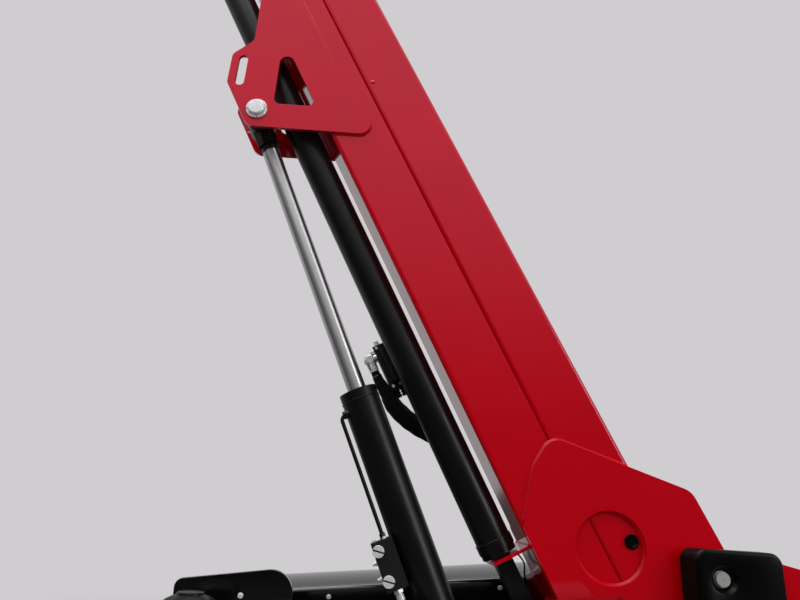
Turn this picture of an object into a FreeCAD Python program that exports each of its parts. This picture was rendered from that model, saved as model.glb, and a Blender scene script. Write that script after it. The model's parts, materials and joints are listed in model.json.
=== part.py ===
import FreeCAD
import Part

import math
import os

# Telescopic lift boom on its turret. Millimetres, +Z up, origin on the slew axis at the bottom face
# of the slew ring. The boom rises toward -X, and the near side of the machine is -Y.

# Slew ring
ringOuterRadius = 230.0
ringInnerRadius = 120.0
ringHeight = 56.0
ringLift = 8.0
ringGap = 0.4
ringPartingRadius = 172.0
hoseHoleRadius = 80.0
ringBoltCircle = 404.0
ringBoltHole = 17.5
ringBoltCount = 8

# Turret
turretFront = -830.0
turretRear = 750.0
turretHalfWidth = 400.0
turretPlateThickness = 16.0
turretCornerRadius = 90.0
cheekGap = 10.0
cheekThickness = 15.0
cheekRearGap = 20.0
webSetback = 150.0
webThickness = 10.0
webTopDrop = 120.0
webFlange = 60.0
tailWeightLength = 150.0
tailWeightHeight = 430.0

# Moulded caps over the ends of the boom's foot pin
housingFront = 80.0
housingRear = 142.0
housingTop = 66.0
housingRearTop = 60.0
housingBottom = 190.0
housingDepth = 46.0
housingCorner = 20.0
housingTopCorner = 29.0
housingRim = 8.0
housingPinGap = 1.0
housingFlare = 5.0
footPinReach = 30.0

# Moulded side covers, whose tops fall towards the front
coverGap = 6.0
coverOutside = 390.0
coverThickness = 4.0
coverFront = -810.0
coverCorner = 55.0
coverSlope = 0.078
coverCrown = 19.0
coverCrownPlace = 0.62
coverBrow = 12.0
coverFall = 45.0
coverFallDrop = 12.0
coverOverrun = 60.0
nearCoverTop = 723.0
nearCoverRear = 185.0
farCoverTop = 758.0
farCoverRear = 365.0
guardThickness = 13.0
guardInset = 20.0
guardLength = 266.0
guardFrontTop = 753.0
guardRearTop = 785.0
guardBottom = 550.0
guardCorner = 20.0
guardRearCorner = 52.0
capX = -722.0
capY = -235.0
capRadius = 60.0
capWaist = 51.0
capLobes = 5
capGrip = 42.0
capLift = 12.0
capNeck = 36.0

# Boom foot pivot, measured from the origin
footX = 455.0
footZ = 792.0
footPinRadius = 25.0
footTubeRadius = 38.0
pinClearance = 0.05

# Lift cylinder base pivot
baseX = 0.0
baseZ = 250.0
basePinRadius = 20.0
baseEyeRadius = 50.0
baseEyeWidth = 80.0
baseNeckEdge = 6.0
basePinEnd = 5.0
baseBossRadius = 46.0
pivotSideGap = 1.0

# Boom at rest
boomElevation = 63.3
boomWidth = 150.0
boomTop = -39.0
boomBottom = -355.0
boomWall = 5.0
boomCorner = 12.0
seamLevel = -199.0
seamStep = 4.0
seamGroove = 4.0
seamGrooveFoot = 2.0
seamGrooveTop = 14.0
boomFootTop = 75.0
boomFootBottom = 20.0
boomLength = 2950.0
collarLength = 90.0
collarBand = 12.0
cableHoleS = 144.0
cableHoleN = -127.0
cableHoleRadius = 15.5

# Foot plates, welded on the boom's sides
sidePlateThickness = 10.0
footWindowS = 155.0
footWindowN = -183.0
footWindowRadius = 85.0

# Bracket for the lift cylinder, welded on the boom's sides
rodPinS = 1615.0
rodPinN = -523.0
rodPinRadius = 20.0
pinCollarRadius = 30.5
pinCollarHeight = 8.0
pinHeadHeight = 10.0
pinSideGap = 8.0
slotWidth = 26.0

# Lift cylinder
barrelRadius = 50.0
barrelBore = 40.0
barrelTop = 1045.0
barrelStart = 64.0
barrelFloor = 20.0
glandHead = 25.0
rodRadius = 25.0
rodLength = 1000.0
rodEyeRadius = 38.0
rodEyeWidth = 70.0
rodNeckLength = 40.0
rodNeckRadius = 30.0
rodEyeClearance = 0.5
rodClearance = 0.05

# Load-holding valve and pipe on the front of the barrel, measured down from the rod pin
valveTop = 1222.0
valveBottom = 1340.0
valveWidth = 50.0
valveHeight = 48.0
valveY = 30.0
valveSaddle = 6.0
pipeTop = 905.0
pipeRadius = 5.0
pipeBend = 14.0
pipeStandoff = 14.0
pipeY = 20.0
portRadius = 10.0
portHeight = 8.0
eightSides = 8

# Extension cylinder, fixed under the boom
extensionN = -421.0
extensionRadius = 44.45
extensionBore = 36.0
extensionStart = 245.0
extensionEnd = 2620.0
extensionRodRadius = 22.5
extensionStroke = 2000.0
extensionGlandLength = 60.0
extensionFloor = 20.0
extensionEyeS = 62.0
extensionEyeRadius = 30.0
extensionEyeWidth = 56.0
extensionNeck = 44.0
lugThickness = 10.0
lugGap = 1.0
lugHalfRoot = 36.0
lugHalfEye = 28.0
lugHalfFoot = 14.0
lugReach = 28.0
lugPinEnd = 7.0
tabGap = 5.0
tabThickness = 8.0
tabSide = 15.0
tabDrop = 32.0
tabEdge = 2.5
saddleSetback = 120.0
saddleLength = 40.0
saddleHalfWidth = 62.0
saddleDrop = 20.0
saddleGap = 0.2

# Valve block and hoses on the far side of the extension cylinder, in the boom frame
manifoldS = 732.0
manifoldLength = 136.0
manifoldInside = 55.0
manifoldWidth = 34.0
manifoldN = -490.0
manifoldHeight = 44.0
manifoldEdge = 20.0
manifoldArm = 18.0
manifoldArmLift = 12.0
elbowS = 840.0
elbowHalf = 11.0
elbowNose = 28.0
sleeveRadius = 16.0
sleeveY = -71.0
sleeveTopN = -511.0
sleeveN = -402.0
sleeveRoute = [
    (elbowS - elbowNose, sleeveTopN), (710, sleeveTopN), (562, -414), (440, sleeveN),
    (extensionStart - tabGap, sleeveN)]

# Inner section and head
innerClearance = 9.0
innerWall = 5.0
innerHalfWidth = 57.0
innerStart = 450.0
innerReach = 110.0
headPinReach = 240.0
headPinN = -120.0
headPinRadius = 20.0
innerCorner = 10.0
headPlate = 12.0
headBand = 10.0
headGap = 84.0
headNose = 46.0
headDepth = 70.0
headRound = 60.0
rodLugPlace = 160.0
rodLugRoot = 90.0
rodLugNose = 34.0
rodLugRear = 30.0
rodLugReach = 32.0
lugHalf = 14.0
forkHalf = 28.0
forkHeight = 26.0
forkRoot = 85.0
forkDepth = 60.0
forkGap = 0.5
forkPinRadius = 12.0
forkPinEnd = 6.0
rodHidden = 150.0
padGap = 0.4
padLength = 75.0
padMouth = 5.0
padInset = 15.0
padHeight = 55.0
padSide = 20.0

plateTop = ringLift + ringHeight + turretPlateThickness
halfBoom = boomWidth / 2
boomPlates = halfBoom + sidePlateThickness
cheekInside = boomPlates + cheekGap
cheekOutside = cheekInside + cheekThickness
cheekRear = turretRear - cheekRearGap
coverInside = cheekOutside + coverGap
innerEnd = boomLength + innerReach
headPinS = boomLength + headPinReach
rodLugS = boomLength + rodLugPlace
up = FreeCAD.Vector(0, 0, 1)
across = FreeCAD.Vector(0, 1, 0)


def vector(x, y, z):
    return FreeCAD.Vector(x, y, z)


def boomPlacement():
    """Boom frame: x runs up the boom, z points away from the lift cylinder, y to the near side."""
    tilt = math.radians(boomElevation)
    matrix = FreeCAD.Matrix(
        -math.cos(tilt), 0, math.sin(tilt), footX,
        0, -1, 0, 0,
        math.sin(tilt), 0, math.cos(tilt), footZ,
        0, 0, 0, 1)
    return FreeCAD.Placement(matrix)


def onBoom(shape):
    placed = shape.copy()
    placed.Placement = boomPlacement().multiply(placed.Placement)
    return placed


def boomPoint(s, n):
    return boomPlacement().multVec(vector(s, 0, n))


rodPin = boomPoint(rodPinS, rodPinN)
basePin = vector(baseX, 0, baseZ)
liftLength = (rodPin - basePin).Length
liftAxis = (rodPin - basePin).normalize()


def liftPlacement():
    """Cylinder frame: x runs from the base pin to the rod pin, y to the near side, z to the rear."""
    matrix = FreeCAD.Matrix(
        liftAxis.x, 0, liftAxis.z, baseX,
        0, -1, 0, 0,
        liftAxis.z, 0, -liftAxis.x, baseZ,
        0, 0, 0, 1)
    return FreeCAD.Placement(matrix)


def onLift(shape):
    placed = shape.copy()
    placed.Placement = liftPlacement().multiply(placed.Placement)
    return placed


def roundedOutline(corners):
    """Closed wire through (x, z, radius) corners in the plane y = 0, each corner a tangent arc."""
    count = len(corners)
    starts = []
    ends = []
    arcs = []
    for index in range(count):
        x, z, radius = corners[index]
        before = corners[index - 1]
        after = corners[(index + 1) % count]
        corner = vector(x, 0, z)
        toBefore = (vector(before[0], 0, before[1]) - corner).normalize()
        toAfter = (vector(after[0], 0, after[1]) - corner).normalize()
        if radius <= 0:
            starts.append(corner)
            ends.append(corner)
            arcs.append(None)
            continue
        half = toBefore.getAngle(toAfter) / 2
        reach = radius / math.tan(half)
        bisector = (toBefore + toAfter).normalize()
        centre = corner + bisector * (radius / math.sin(half))
        start = corner + toBefore * reach
        end = corner + toAfter * reach
        middle = centre - bisector * radius
        starts.append(start)
        ends.append(end)
        arcs.append(Part.Arc(start, middle, end).toShape())
    edges = []
    for index in range(count):
        if arcs[index] is not None:
            edges.append(arcs[index])
        following = starts[(index + 1) % count]
        if (following - ends[index]).Length > 1e-6:
            edges.append(Part.LineSegment(ends[index], following).toShape())
    return Part.Wire(Part.__sortEdges__(edges))


def plate(corners, yFrom, yTo):
    face = Part.Face(roundedOutline(corners))
    solid = face.extrude(vector(0, yTo - yFrom, 0))
    solid.translate(vector(0, yFrom, 0))
    return solid


def block(x0, x1, y0, y1, z0, z1):
    return Part.makeBox(x1 - x0, y1 - y0, z1 - z0, vector(x0, y0, z0))


def crossCylinder(radius, yFrom, yTo, x, z):
    return Part.makeCylinder(radius, yTo - yFrom, vector(x, yFrom, z), across)


def rod(radius, xFrom, xTo, y=0.0, z=0.0):
    return Part.makeCylinder(radius, xTo - xFrom, vector(xFrom, y, z), vector(1, 0, 0))


def ring(outer, inner, z0, z1):
    whole = Part.makeCylinder(outer, z1 - z0, vector(0, 0, z0), up)
    return whole.cut(Part.makeCylinder(inner, z1 - z0, vector(0, 0, z0), up))


def export(name, shape):
    clean = shape.removeSplitter()
    solids = clean.Solids
    result = solids[0] if len(solids) == 1 else Part.makeCompound(solids)
    result.exportStep("parts/" + name + ".step")
    print(name, len(solids), round(result.Volume / 1e6, 3))


# Slew ring and turret plate


def slewRingFixed():
    body = ring(ringOuterRadius, ringPartingRadius + ringGap / 2, 0, ringHeight)
    for index in range(ringBoltCount):
        turn = 2 * math.pi * index / ringBoltCount
        centre = vector(ringBoltCircle / 2 * math.cos(turn), ringBoltCircle / 2 * math.sin(turn), 0)
        body = body.cut(Part.makeCylinder(ringBoltHole / 2, ringHeight, centre, up))
    return body


def slewRingTurning():
    return ring(ringPartingRadius - ringGap / 2, ringInnerRadius, ringLift, ringHeight + ringLift)


def turretPlate():
    z0 = ringLift + ringHeight
    body = block(turretFront, turretRear, -turretHalfWidth, turretHalfWidth, z0, plateTop)
    corners = [edge for edge in body.Edges if abs(edge.tangentAt(edge.FirstParameter).z) > 0.9]
    body = body.makeFillet(turretCornerRadius, corners)
    return body.cut(Part.makeCylinder(hoseHoleRadius, turretPlateThickness, vector(0, 0, z0), up))


# Turret cheeks and pivots

cheekCorners = [
    (baseX - 150, plateTop, 0), (baseX - 95, baseZ + 95, 70), (baseX + 140, baseZ + 150, 120),
    (footX - 62, footZ - 150, 120), (footX - 62, footZ + 54, 60), (footX + 120, footZ + 46, 60),
    (cheekRear, footZ + 8, 50), (cheekRear, plateTop, 0)]


def cheek(yFrom, yTo, bossFrom, bossTo):
    """Side plate of the turret, with a boss that reaches in to the lift cylinder's base eye."""
    body = plate(cheekCorners, yFrom, yTo)
    body = body.fuse(crossCylinder(baseBossRadius, bossFrom, bossTo, baseX, baseZ))
    low, high = min(bossFrom, yFrom), max(bossTo, yTo)
    body = body.cut(crossCylinder(basePinRadius + pinClearance, low, high, baseX, baseZ))
    body = body.cut(crossCylinder(footPinRadius + pinClearance, low, high, footX, footZ))
    return body


def cheekWeb():
    """Cross plate that ties the cheeks behind the boom foot, with a return flange at its top."""
    x0 = footX + webSetback
    top = footZ - webTopDrop
    face = block(x0, x0 + webThickness, -cheekInside, cheekInside, plateTop, top)
    flange = block(x0, x0 + webFlange, -cheekInside, cheekInside, top - webThickness, top)
    return face.fuse(flange)


def tailWeight():
    """Cast weight across the rear of the turret, on the plate and round the cheeks."""
    x1 = cheekRear + tailWeightLength
    body = block(cheekRear, x1, -turretHalfWidth, turretHalfWidth, plateTop, plateTop + tailWeightHeight)
    corners = []
    for edge in body.Edges:
        upright = abs(edge.tangentAt(edge.FirstParameter).z) > 0.9
        if upright and edge.BoundBox.XMin > x1 - 1:
            corners.append(edge)
    return body.makeFillet(turretCornerRadius, corners)


def pivotHousing(yFrom, yTo):
    """Moulded cap over the end of the foot pin, with a bevelled rim and a conical mouth round the pin."""
    outline = [
        (footX - housingFront, footZ - housingBottom, housingCorner),
        (footX - housingFront, footZ + housingTop, housingTopCorner),
        (footX + housingRear, footZ + housingRearTop, housingTopCorner),
        (footX + housingRear, footZ - housingBottom, housingCorner)]
    body = plate(outline, yFrom, yTo)
    outer, inner = (yFrom, yTo) if yFrom < 0 else (yTo, yFrom)
    pinHole = footPinRadius + housingPinGap
    rim = []
    for edge in body.Edges:
        box = edge.BoundBox
        if abs(box.YMin - outer) < 0.01 and abs(box.YMax - outer) < 0.01:
            rim.append(edge)
    body = body.makeChamfer(housingRim, rim)
    mouth = Part.makeCone(
        pinHole + housingFlare, pinHole, yTo - yFrom, vector(footX, outer, footZ),
        vector(0, inner - outer, 0))
    return body.cut(mouth)


# Covers


def coverSection(yIn, yOut, top, offset):
    """Section of a cover at x = 0, pulled in by offset. Its top rises from the inner wall to a crown."""
    side = 1 if yOut > yIn else -1
    inner = yIn + side * offset
    outer = yOut - side * offset
    edge = top - offset
    crownLevel = edge + coverCrown
    fallLevel = crownLevel - coverFallDrop
    hipLevel = edge - coverFall
    foot = vector(0, inner, 0)
    shoulder = vector(0, inner, edge - coverBrow)
    bend = coverBrow * (1 - math.sqrt(0.5))
    turn = vector(0, inner + side * bend, edge - bend)
    brow = vector(0, inner + side * coverBrow, edge)
    crown = vector(0, yIn + coverCrownPlace * (yOut - yIn), crownLevel)
    fall = vector(0, outer - side * coverFall, fallLevel)
    slump = vector(
        0, outer - side * coverFall * (1 - math.sqrt(0.5)),
        hipLevel + (fallLevel - hipLevel) * math.sqrt(0.5))
    hip = vector(0, outer, hipLevel)
    toe = vector(0, outer, 0)
    edges = [
        Part.LineSegment(foot, shoulder).toShape(), Part.Arc(shoulder, turn, brow).toShape(),
        Part.Arc(brow, crown, fall).toShape(), Part.Arc(fall, slump, hip).toShape(),
        Part.LineSegment(hip, toe).toShape(), Part.LineSegment(toe, foot).toShape()]
    return Part.Face(Part.Wire(edges))


def coverForm(front, rear, yIn, yOut, top, offset):
    """One solid: the sloping section along x, trimmed by a plan outline with round corners."""
    low, high = sorted((yIn, yOut))
    section = coverSection(yIn, yOut, top, offset)
    section.translate(vector(front - coverOverrun, 0, 0))
    run = section.extrude(vector(rear - front + 2 * coverOverrun, 0, 0))
    run.rotate(vector(0, 0, top), across, -math.degrees(math.atan(coverSlope)))
    plan = block(front + offset, rear - offset, low + offset, high - offset, plateTop, 2 * top)
    outerEdge = high - offset if yOut > yIn else low + offset
    corners = []
    for edge in plan.Edges:
        upright = abs(edge.tangentAt(edge.FirstParameter).z) > 0.9
        if upright and abs(edge.BoundBox.YMin - outerEdge) < 1:
            corners.append(edge)
    plan = plan.makeFillet(coverCorner - offset, corners)
    return run.common(plan)


def cover(front, rear, yIn, yOut, top):
    """Moulded side cover: a thin shell, open at the bottom, that stands on the turret plate."""
    shell = coverForm(front, rear, yIn, yOut, top, 0)
    hollow = coverForm(front, rear, yIn, yOut, top, coverThickness)
    return shell.cut(hollow)


def frontGuard():
    """Upright guard on the inner wall of the near cover, over its front end."""
    inner = -coverInside
    x0 = coverFront + guardInset
    x1 = x0 + guardLength
    outline = [
        (x0, guardBottom, guardCorner), (x0, guardFrontTop, guardCorner),
        (x1, guardRearTop, guardRearCorner), (x1, guardBottom, guardCorner)]
    return plate(outline, inner, inner + guardThickness)


def coverHeight(form, x, y):
    """Height of a cover's top surface over the plan point x, y."""
    probe = Part.LineSegment(vector(x, y, plateTop), vector(x, y, 2 * nearCoverTop)).toShape()
    return form.common(probe).BoundBox.ZMax


def knobOutline(radius, waist, lobes, x, y, z):
    """Closed outline of a hand knob: round lobes at radius, with hollows down to waist between them."""
    pitch = 2 * math.pi / lobes
    edges = []

    def spot(turn, reach):
        return vector(x + reach * math.cos(turn), y + reach * math.sin(turn), z)

    shoulder = (radius + waist) / 2
    for index in range(lobes):
        turn = index * pitch
        before, after = spot(turn - pitch / 4, shoulder), spot(turn + pitch / 4, shoulder)
        following = spot(turn + 3 * pitch / 4, shoulder)
        edges.append(Part.Arc(before, spot(turn, radius), after).toShape())
        edges.append(Part.Arc(after, spot(turn + pitch / 2, waist), following).toShape())
    return Part.Wire(edges)


def fillerCap():
    """Lobed screw cap on the near cover, above the tank."""
    under = coverForm(coverFront, nearCoverRear, -coverInside, -coverOutside, nearCoverTop, 0)
    seat = coverHeight(under, capX, capY)
    base = seat + capLift
    grip = Part.Face(knobOutline(capRadius, capWaist, capLobes, capX, capY, base))
    neck = Part.makeCylinder(capNeck, 2 * capLift, vector(capX, capY, seat - capLift), up)
    return grip.extrude(vector(0, 0, capGrip)).fuse(neck.cut(under))


# Boom


def acrossBoom(corners):
    """Face of a closed outline of (y, z, radius) corners, square to the boom."""
    wire = roundedOutline(corners)
    wire.Placement = FreeCAD.Placement(vector(0, 0, 0), FreeCAD.Rotation(up, 90))
    return Part.Face(wire)


def boxSection(top, bottom, halfWidth, corner):
    return acrossBoom([
        (halfWidth, bottom, corner), (halfWidth, top, corner),
        (-halfWidth, top, corner), (-halfWidth, bottom, corner)])


def boomSection(inset):
    """Section of the outer boom, pulled in by inset: two channels, the upper one set in at the seam.

    The joggle of the upper channel leaves a groove above the lip of the lower one.
    """
    half = halfBoom - inset
    upper = half - seamStep
    floor = upper - seamGroove
    lift = 0.4 * inset
    right = [
        (half, boomBottom + inset, boomCorner - inset), (half, seamLevel - inset, 0),
        (floor, seamLevel - inset, 0), (floor, seamLevel + seamGrooveFoot + lift, 0),
        (upper, seamLevel + seamGrooveTop + lift, 0), (upper, boomTop - inset, boomCorner - inset)]
    left = [(-y, z, radius) for y, z, radius in reversed(right)]
    return acrossBoom(right + left)


def boomOuterSection():
    span = vector(boomLength, 0, 0)
    body = boomSection(0).extrude(span).cut(boomSection(boomWall).extrude(span))
    over = collarBand
    end = plate(
        [(-over, over, 0), (boomFootTop, over, 0), (boomFootTop, boomTop, 0),
         (boomFootBottom, boomBottom, 0), (boomFootBottom, boomBottom - over, 0),
         (-over, boomBottom - over, 0)], -boomWidth, boomWidth)
    return body.cut(end).cut(crossCylinder(cableHoleRadius, 0, boomWidth, cableHoleS, cableHoleN))


footPlateCorners = [
    (284, -354, 30), (403, -260, 110), (445, -187, 40), (184, 66, 45), (0, 66, 66), (-66, 30, 60),
    (-20, -354, 40)]

bracketCorners = [
    (1400, -233, 32), (1577, -569, 34), (1736, -569, 18), (1820, -520, 22), (1840, -444, 26),
    (2005, -354, 20), (2120, -316, 30), (2120, -258, 30), (1590, -254, 150)]

bracketWindow = [(1813, -362.5, 22), (1615, -473, 18), (1557, -362.5, 16)]
bracketSlot = [(1790, -497), (1724, -535)]


def footPlate(yFrom, yTo):
    body = plate(footPlateCorners, yFrom, yTo)
    body = body.cut(crossCylinder(footWindowRadius, yFrom, yTo, footWindowS, footWindowN))
    return body.cut(crossCylinder(footTubeRadius, yFrom, yTo, 0, 0))


def footTube():
    """Boss tube of the boom foot, welded through both foot plates."""
    reach = cheekInside - pivotSideGap
    body = crossCylinder(footTubeRadius, -reach, reach, 0, 0)
    return body.cut(crossCylinder(footPinRadius + pinClearance, -reach, reach, 0, 0))


def slot(ends, width, yFrom, yTo):
    """Long hole between two centres."""
    first, last = [vector(s, yFrom, n) for s, n in ends]
    side = (last - first).cross(across).normalize() * (width / 2)
    wire = Part.makePolygon([first + side, last + side, last - side, first - side, first + side])
    body = Part.Face(wire).extrude(vector(0, yTo - yFrom, 0))
    return body.fuse([crossCylinder(width / 2, yFrom, yTo, s, n) for s, n in ends])


def bracket(yFrom, yTo):
    body = plate(bracketCorners, yFrom, yTo)
    body = body.cut(plate(bracketWindow, yFrom, yTo))
    body = body.cut(slot(bracketSlot, slotWidth, yFrom, yTo))
    return body.cut(crossCylinder(rodPinRadius, yFrom, yTo, rodPinS, rodPinN))


def bracketPins():
    """Pin ends with their collars, one in each bracket plate; the rod's eye runs between them."""
    pins = []
    inside = rodEyeWidth / 2 + pinSideGap
    collarEnd = boomPlates + pinCollarHeight
    for side in (1, -1):
        low, high = sorted((side * inside, side * (collarEnd + pinHeadHeight)))
        collarLow, collarHigh = sorted((side * boomPlates, side * collarEnd))
        shank = crossCylinder(rodPinRadius, low, high, rodPinS, rodPinN)
        collar = crossCylinder(pinCollarRadius, collarLow, collarHigh, rodPinS, rodPinN)
        pins.append(shank.fuse(collar))
    return Part.makeCompound(pins)


def boomCollar():
    """Frame round the mouth of the outer section, which carries the front slide pads."""
    span = vector(collarLength, 0, 0)
    outer = boxSection(
        boomTop + collarBand, boomBottom - collarBand, halfBoom + collarBand,
        boomCorner + collarBand).extrude(span)
    body = outer.cut(boomSection(0).extrude(span))
    body.translate(vector(boomLength - collarLength, 0, 0))
    return body


def innerTop():
    return boomTop - boomWall - innerClearance


def innerBottom():
    return boomBottom + boomWall + innerClearance


def padSet(x0, fixed, slack):
    """Four side pads and two flat ones between the sections; slack is on the side that slides."""
    x1 = x0 + padLength
    top, bottom = innerTop(), innerBottom()
    inward, outward = (slack, 0) if fixed == "outer" else (0, slack)
    pads = []
    for side in (1, -1):
        for z0, wall in (
                (top - padInset - padHeight, halfBoom - seamStep - boomWall),
                (bottom + padInset, halfBoom - boomWall)):
            low, high = sorted((side * (innerHalfWidth + inward), side * (wall - outward)))
            pads.append(block(x0, x1, low, high, z0, z0 + padHeight))
    half = innerHalfWidth - padSide
    pads.append(block(x0, x1, -half, half, top + inward, boomTop - boomWall - outward))
    pads.append(block(x0, x1, -half, half, boomBottom + boomWall + outward, bottom - inward))
    return Part.makeCompound(pads)


def frontPads():
    """Wear pads bolted inside the mouth of the outer section."""
    return padSet(boomLength - padMouth - padLength, "outer", padGap)


def extensionBarrel():
    gland = extensionEnd - extensionGlandLength
    body = rod(extensionRadius, extensionStart, extensionEnd, 0, extensionN)
    body = body.cut(rod(extensionBore, extensionStart + extensionFloor, gland, 0, extensionN))
    body = body.cut(rod(extensionRodRadius + rodClearance, gland, extensionEnd, 0, extensionN))
    half = extensionEyeWidth / 2
    neckHalf = extensionNeck / 2
    neck = block(
        extensionEyeS, extensionStart, -neckHalf, neckHalf, extensionN - neckHalf, extensionN + neckHalf)
    eye = crossCylinder(extensionEyeRadius, -half, half, extensionEyeS, extensionN)
    body = body.fuse([neck, eye])
    return body.cut(crossCylinder(forkPinRadius, -half, half, extensionEyeS, extensionN))


def extensionTab():
    """Plate under the boom, round the neck of the extension cylinder; the sleeve ends on it."""
    x1 = extensionStart - tabGap
    x0 = x1 - tabThickness
    low = sleeveY - sleeveRadius - tabEdge
    body = block(x0, x1, low, extensionRadius + tabSide, extensionN - tabDrop, boomBottom)
    half = extensionNeck / 2 + tabEdge
    return body.cut(block(x0, x1, -half, half, extensionN - half, extensionN + half))


def extensionLugs():
    """Clevis that holds the eye of the extension cylinder."""
    lugs = []
    foot = extensionN - lugReach
    for side in (1, -1):
        inside = side * (extensionEyeWidth / 2 + lugGap)
        low, high = sorted((inside, inside + side * lugThickness))
        lug = plate(
            [(extensionEyeS + lugHalfRoot, boomBottom, 0), (extensionEyeS + lugHalfEye, extensionN, 0),
             (extensionEyeS + lugHalfFoot, foot, 0), (extensionEyeS - lugHalfFoot, foot, 0),
             (extensionEyeS - lugHalfEye, extensionN, 0), (extensionEyeS - lugHalfRoot, boomBottom, 0)],
            low, high)
        lugs.append(lug.cut(crossCylinder(forkPinRadius, low, high, extensionEyeS, extensionN)))
    return Part.makeCompound(lugs)


def extensionPin():
    half = extensionEyeWidth / 2 + lugGap + lugThickness + lugPinEnd
    return crossCylinder(forkPinRadius, -half, half, extensionEyeS, extensionN)


def extensionClamp():
    """Saddle that holds the upper end of the extension cylinder to the boom."""
    x0 = extensionEnd - saddleSetback
    x1 = x0 + saddleLength
    body = block(x0, x1, -saddleHalfWidth, saddleHalfWidth, extensionN - saddleDrop, boomBottom)
    return body.cut(rod(extensionRadius + saddleGap, x0, x1, 0, extensionN))


def manifoldBlock():
    """Valve block on the far side of the extension cylinder, with an elbow for the hoses."""
    y1 = -manifoldInside
    y0 = y1 - manifoldWidth
    body = block(manifoldS, manifoldS + manifoldLength, y0, y1, manifoldN, manifoldN + manifoldHeight)
    drop = block(
        elbowS - elbowHalf, elbowS + elbowHalf, sleeveY - elbowHalf, sleeveY + elbowHalf,
        sleeveTopN, manifoldN)
    nose = block(
        elbowS - elbowNose, elbowS + elbowHalf, sleeveY - elbowHalf, sleeveY + elbowHalf,
        sleeveTopN - elbowHalf, sleeveTopN + elbowHalf)
    return body.fuse([drop, nose])


def manifoldBracket():
    """Saddle on the extension cylinder that carries the valve block."""
    x0, x1 = manifoldS + manifoldEdge, manifoldS + manifoldLength - manifoldEdge
    body = block(x0, x1, -manifoldInside, -manifoldArm, manifoldN + manifoldArmLift, extensionN)
    return body.cut(rod(extensionRadius + saddleGap, x0, x1, 0, extensionN))


def eightSided(radius, centre, axis, side):
    """Closed regular outline round a centre, with flats at radius, square to the axis."""
    other = axis.cross(side)
    reach = radius / math.cos(math.pi / eightSides)
    rim = []
    for index in range(eightSides + 1):
        turn = 2 * math.pi * (index + 0.5) / eightSides
        rim.append(centre + side * (reach * math.cos(turn)) + other * (reach * math.sin(turn)))
    return Part.makePolygon(rim)


def smoothTube(points, radius):
    """Plain tube through points at one y: straight runs joined by arcs as large as the runs allow."""
    edges = []
    last = points[0]
    for index in range(1, len(points) - 1):
        corner = points[index]
        back = points[index - 1] - corner
        ahead = points[index + 1] - corner
        reach = 0.45 * min(back.Length, ahead.Length)
        back.normalize()
        ahead.normalize()
        half = back.getAngle(ahead) / 2
        bend = reach * math.tan(half)
        bisector = (back + ahead).normalize()
        middle = corner + bisector * (bend / math.sin(half) - bend)
        start = corner + back * reach
        end = corner + ahead * reach
        edges.append(Part.LineSegment(last, start).toShape())
        edges.append(Part.Arc(start, middle, end).toShape())
        last = end
    edges.append(Part.LineSegment(last, points[-1]).toShape())
    heading = (points[1] - points[0]).normalize()
    section = eightSided(radius, points[0], heading, across)
    return Part.Wire(edges).makePipeShell([section], True, False)


def hoseSleeve():
    """Textile sleeve round the hoses, from the valve block down beside the extension cylinder."""
    route = [vector(s, sleeveY, n) for s, n in sleeveRoute]
    return smoothTube(route, sleeveRadius)


# Inner section


def innerSection():
    span = vector(innerEnd - innerStart, 0, 0)
    top, bottom = innerTop(), innerBottom()
    outer = boxSection(top, bottom, innerHalfWidth, innerCorner).extrude(span)
    inner = boxSection(
        top - innerWall, bottom + innerWall, innerHalfWidth - innerWall,
        innerCorner - innerWall).extrude(span)
    body = outer.cut(inner)
    body.translate(vector(innerStart, 0, 0))
    return body


def rearPads():
    """Wear pads on the hidden end of the inner section."""
    return padSet(innerStart + padMouth, "inner", padGap)


def boomHead():
    """End plate, fork with the cross bore for the jib or the platform, and the cylinder's lug."""
    top, bottom = innerTop(), innerBottom()
    half = innerHalfWidth + headBand
    body = block(innerEnd, innerEnd + headPlate, -half, half, bottom - headBand, top + headBand)
    for side in (1, -1):
        low, high = sorted((side * headGap / 2, side * innerHalfWidth))
        ear = plate(
            [(innerEnd, top, 0), (headPinS + headNose, top, headRound),
             (headPinS + headNose, headPinN - headDepth, headRound), (innerEnd, bottom, 0)], low, high)
        body = body.fuse(ear)
    foot = extensionN - rodLugReach
    lug = plate(
        [(innerEnd, bottom, 0), (innerEnd + rodLugRoot, bottom, 0), (rodLugS + rodLugNose, foot, rodLugRear),
         (rodLugS - rodLugRear, foot, rodLugRear)], -lugHalf, lugHalf)
    body = body.fuse(lug)
    reach = innerHalfWidth
    body = body.cut(crossCylinder(headPinRadius + pinClearance, -reach, reach, headPinS, headPinN))
    return body.cut(crossCylinder(forkPinRadius, -lugHalf, lugHalf, rodLugS, extensionN))


def extensionRod():
    """Chrome rod with a forked end on the head's lug; its far end rides in the fixed barrel."""
    start = extensionEnd - extensionStroke - rodHidden
    body = rod(extensionRodRadius, start, rodLugS - forkRoot, 0, extensionN)
    x1 = rodLugS + forkHeight
    z0, z1 = extensionN - forkHeight, extensionN + forkHeight
    gap = lugHalf + forkGap
    fork = block(rodLugS - forkRoot, x1, -forkHalf, forkHalf, z0, z1)
    fork = fork.cut(block(rodLugS - forkDepth, x1, -gap, gap, z0, z1))
    body = body.fuse(fork)
    return body.cut(crossCylinder(forkPinRadius, -forkHalf, forkHalf, rodLugS, extensionN))


def rodLugPin():
    half = forkHalf + forkPinEnd
    return crossCylinder(forkPinRadius, -half, half, rodLugS, extensionN)


# Lift cylinder


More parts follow.
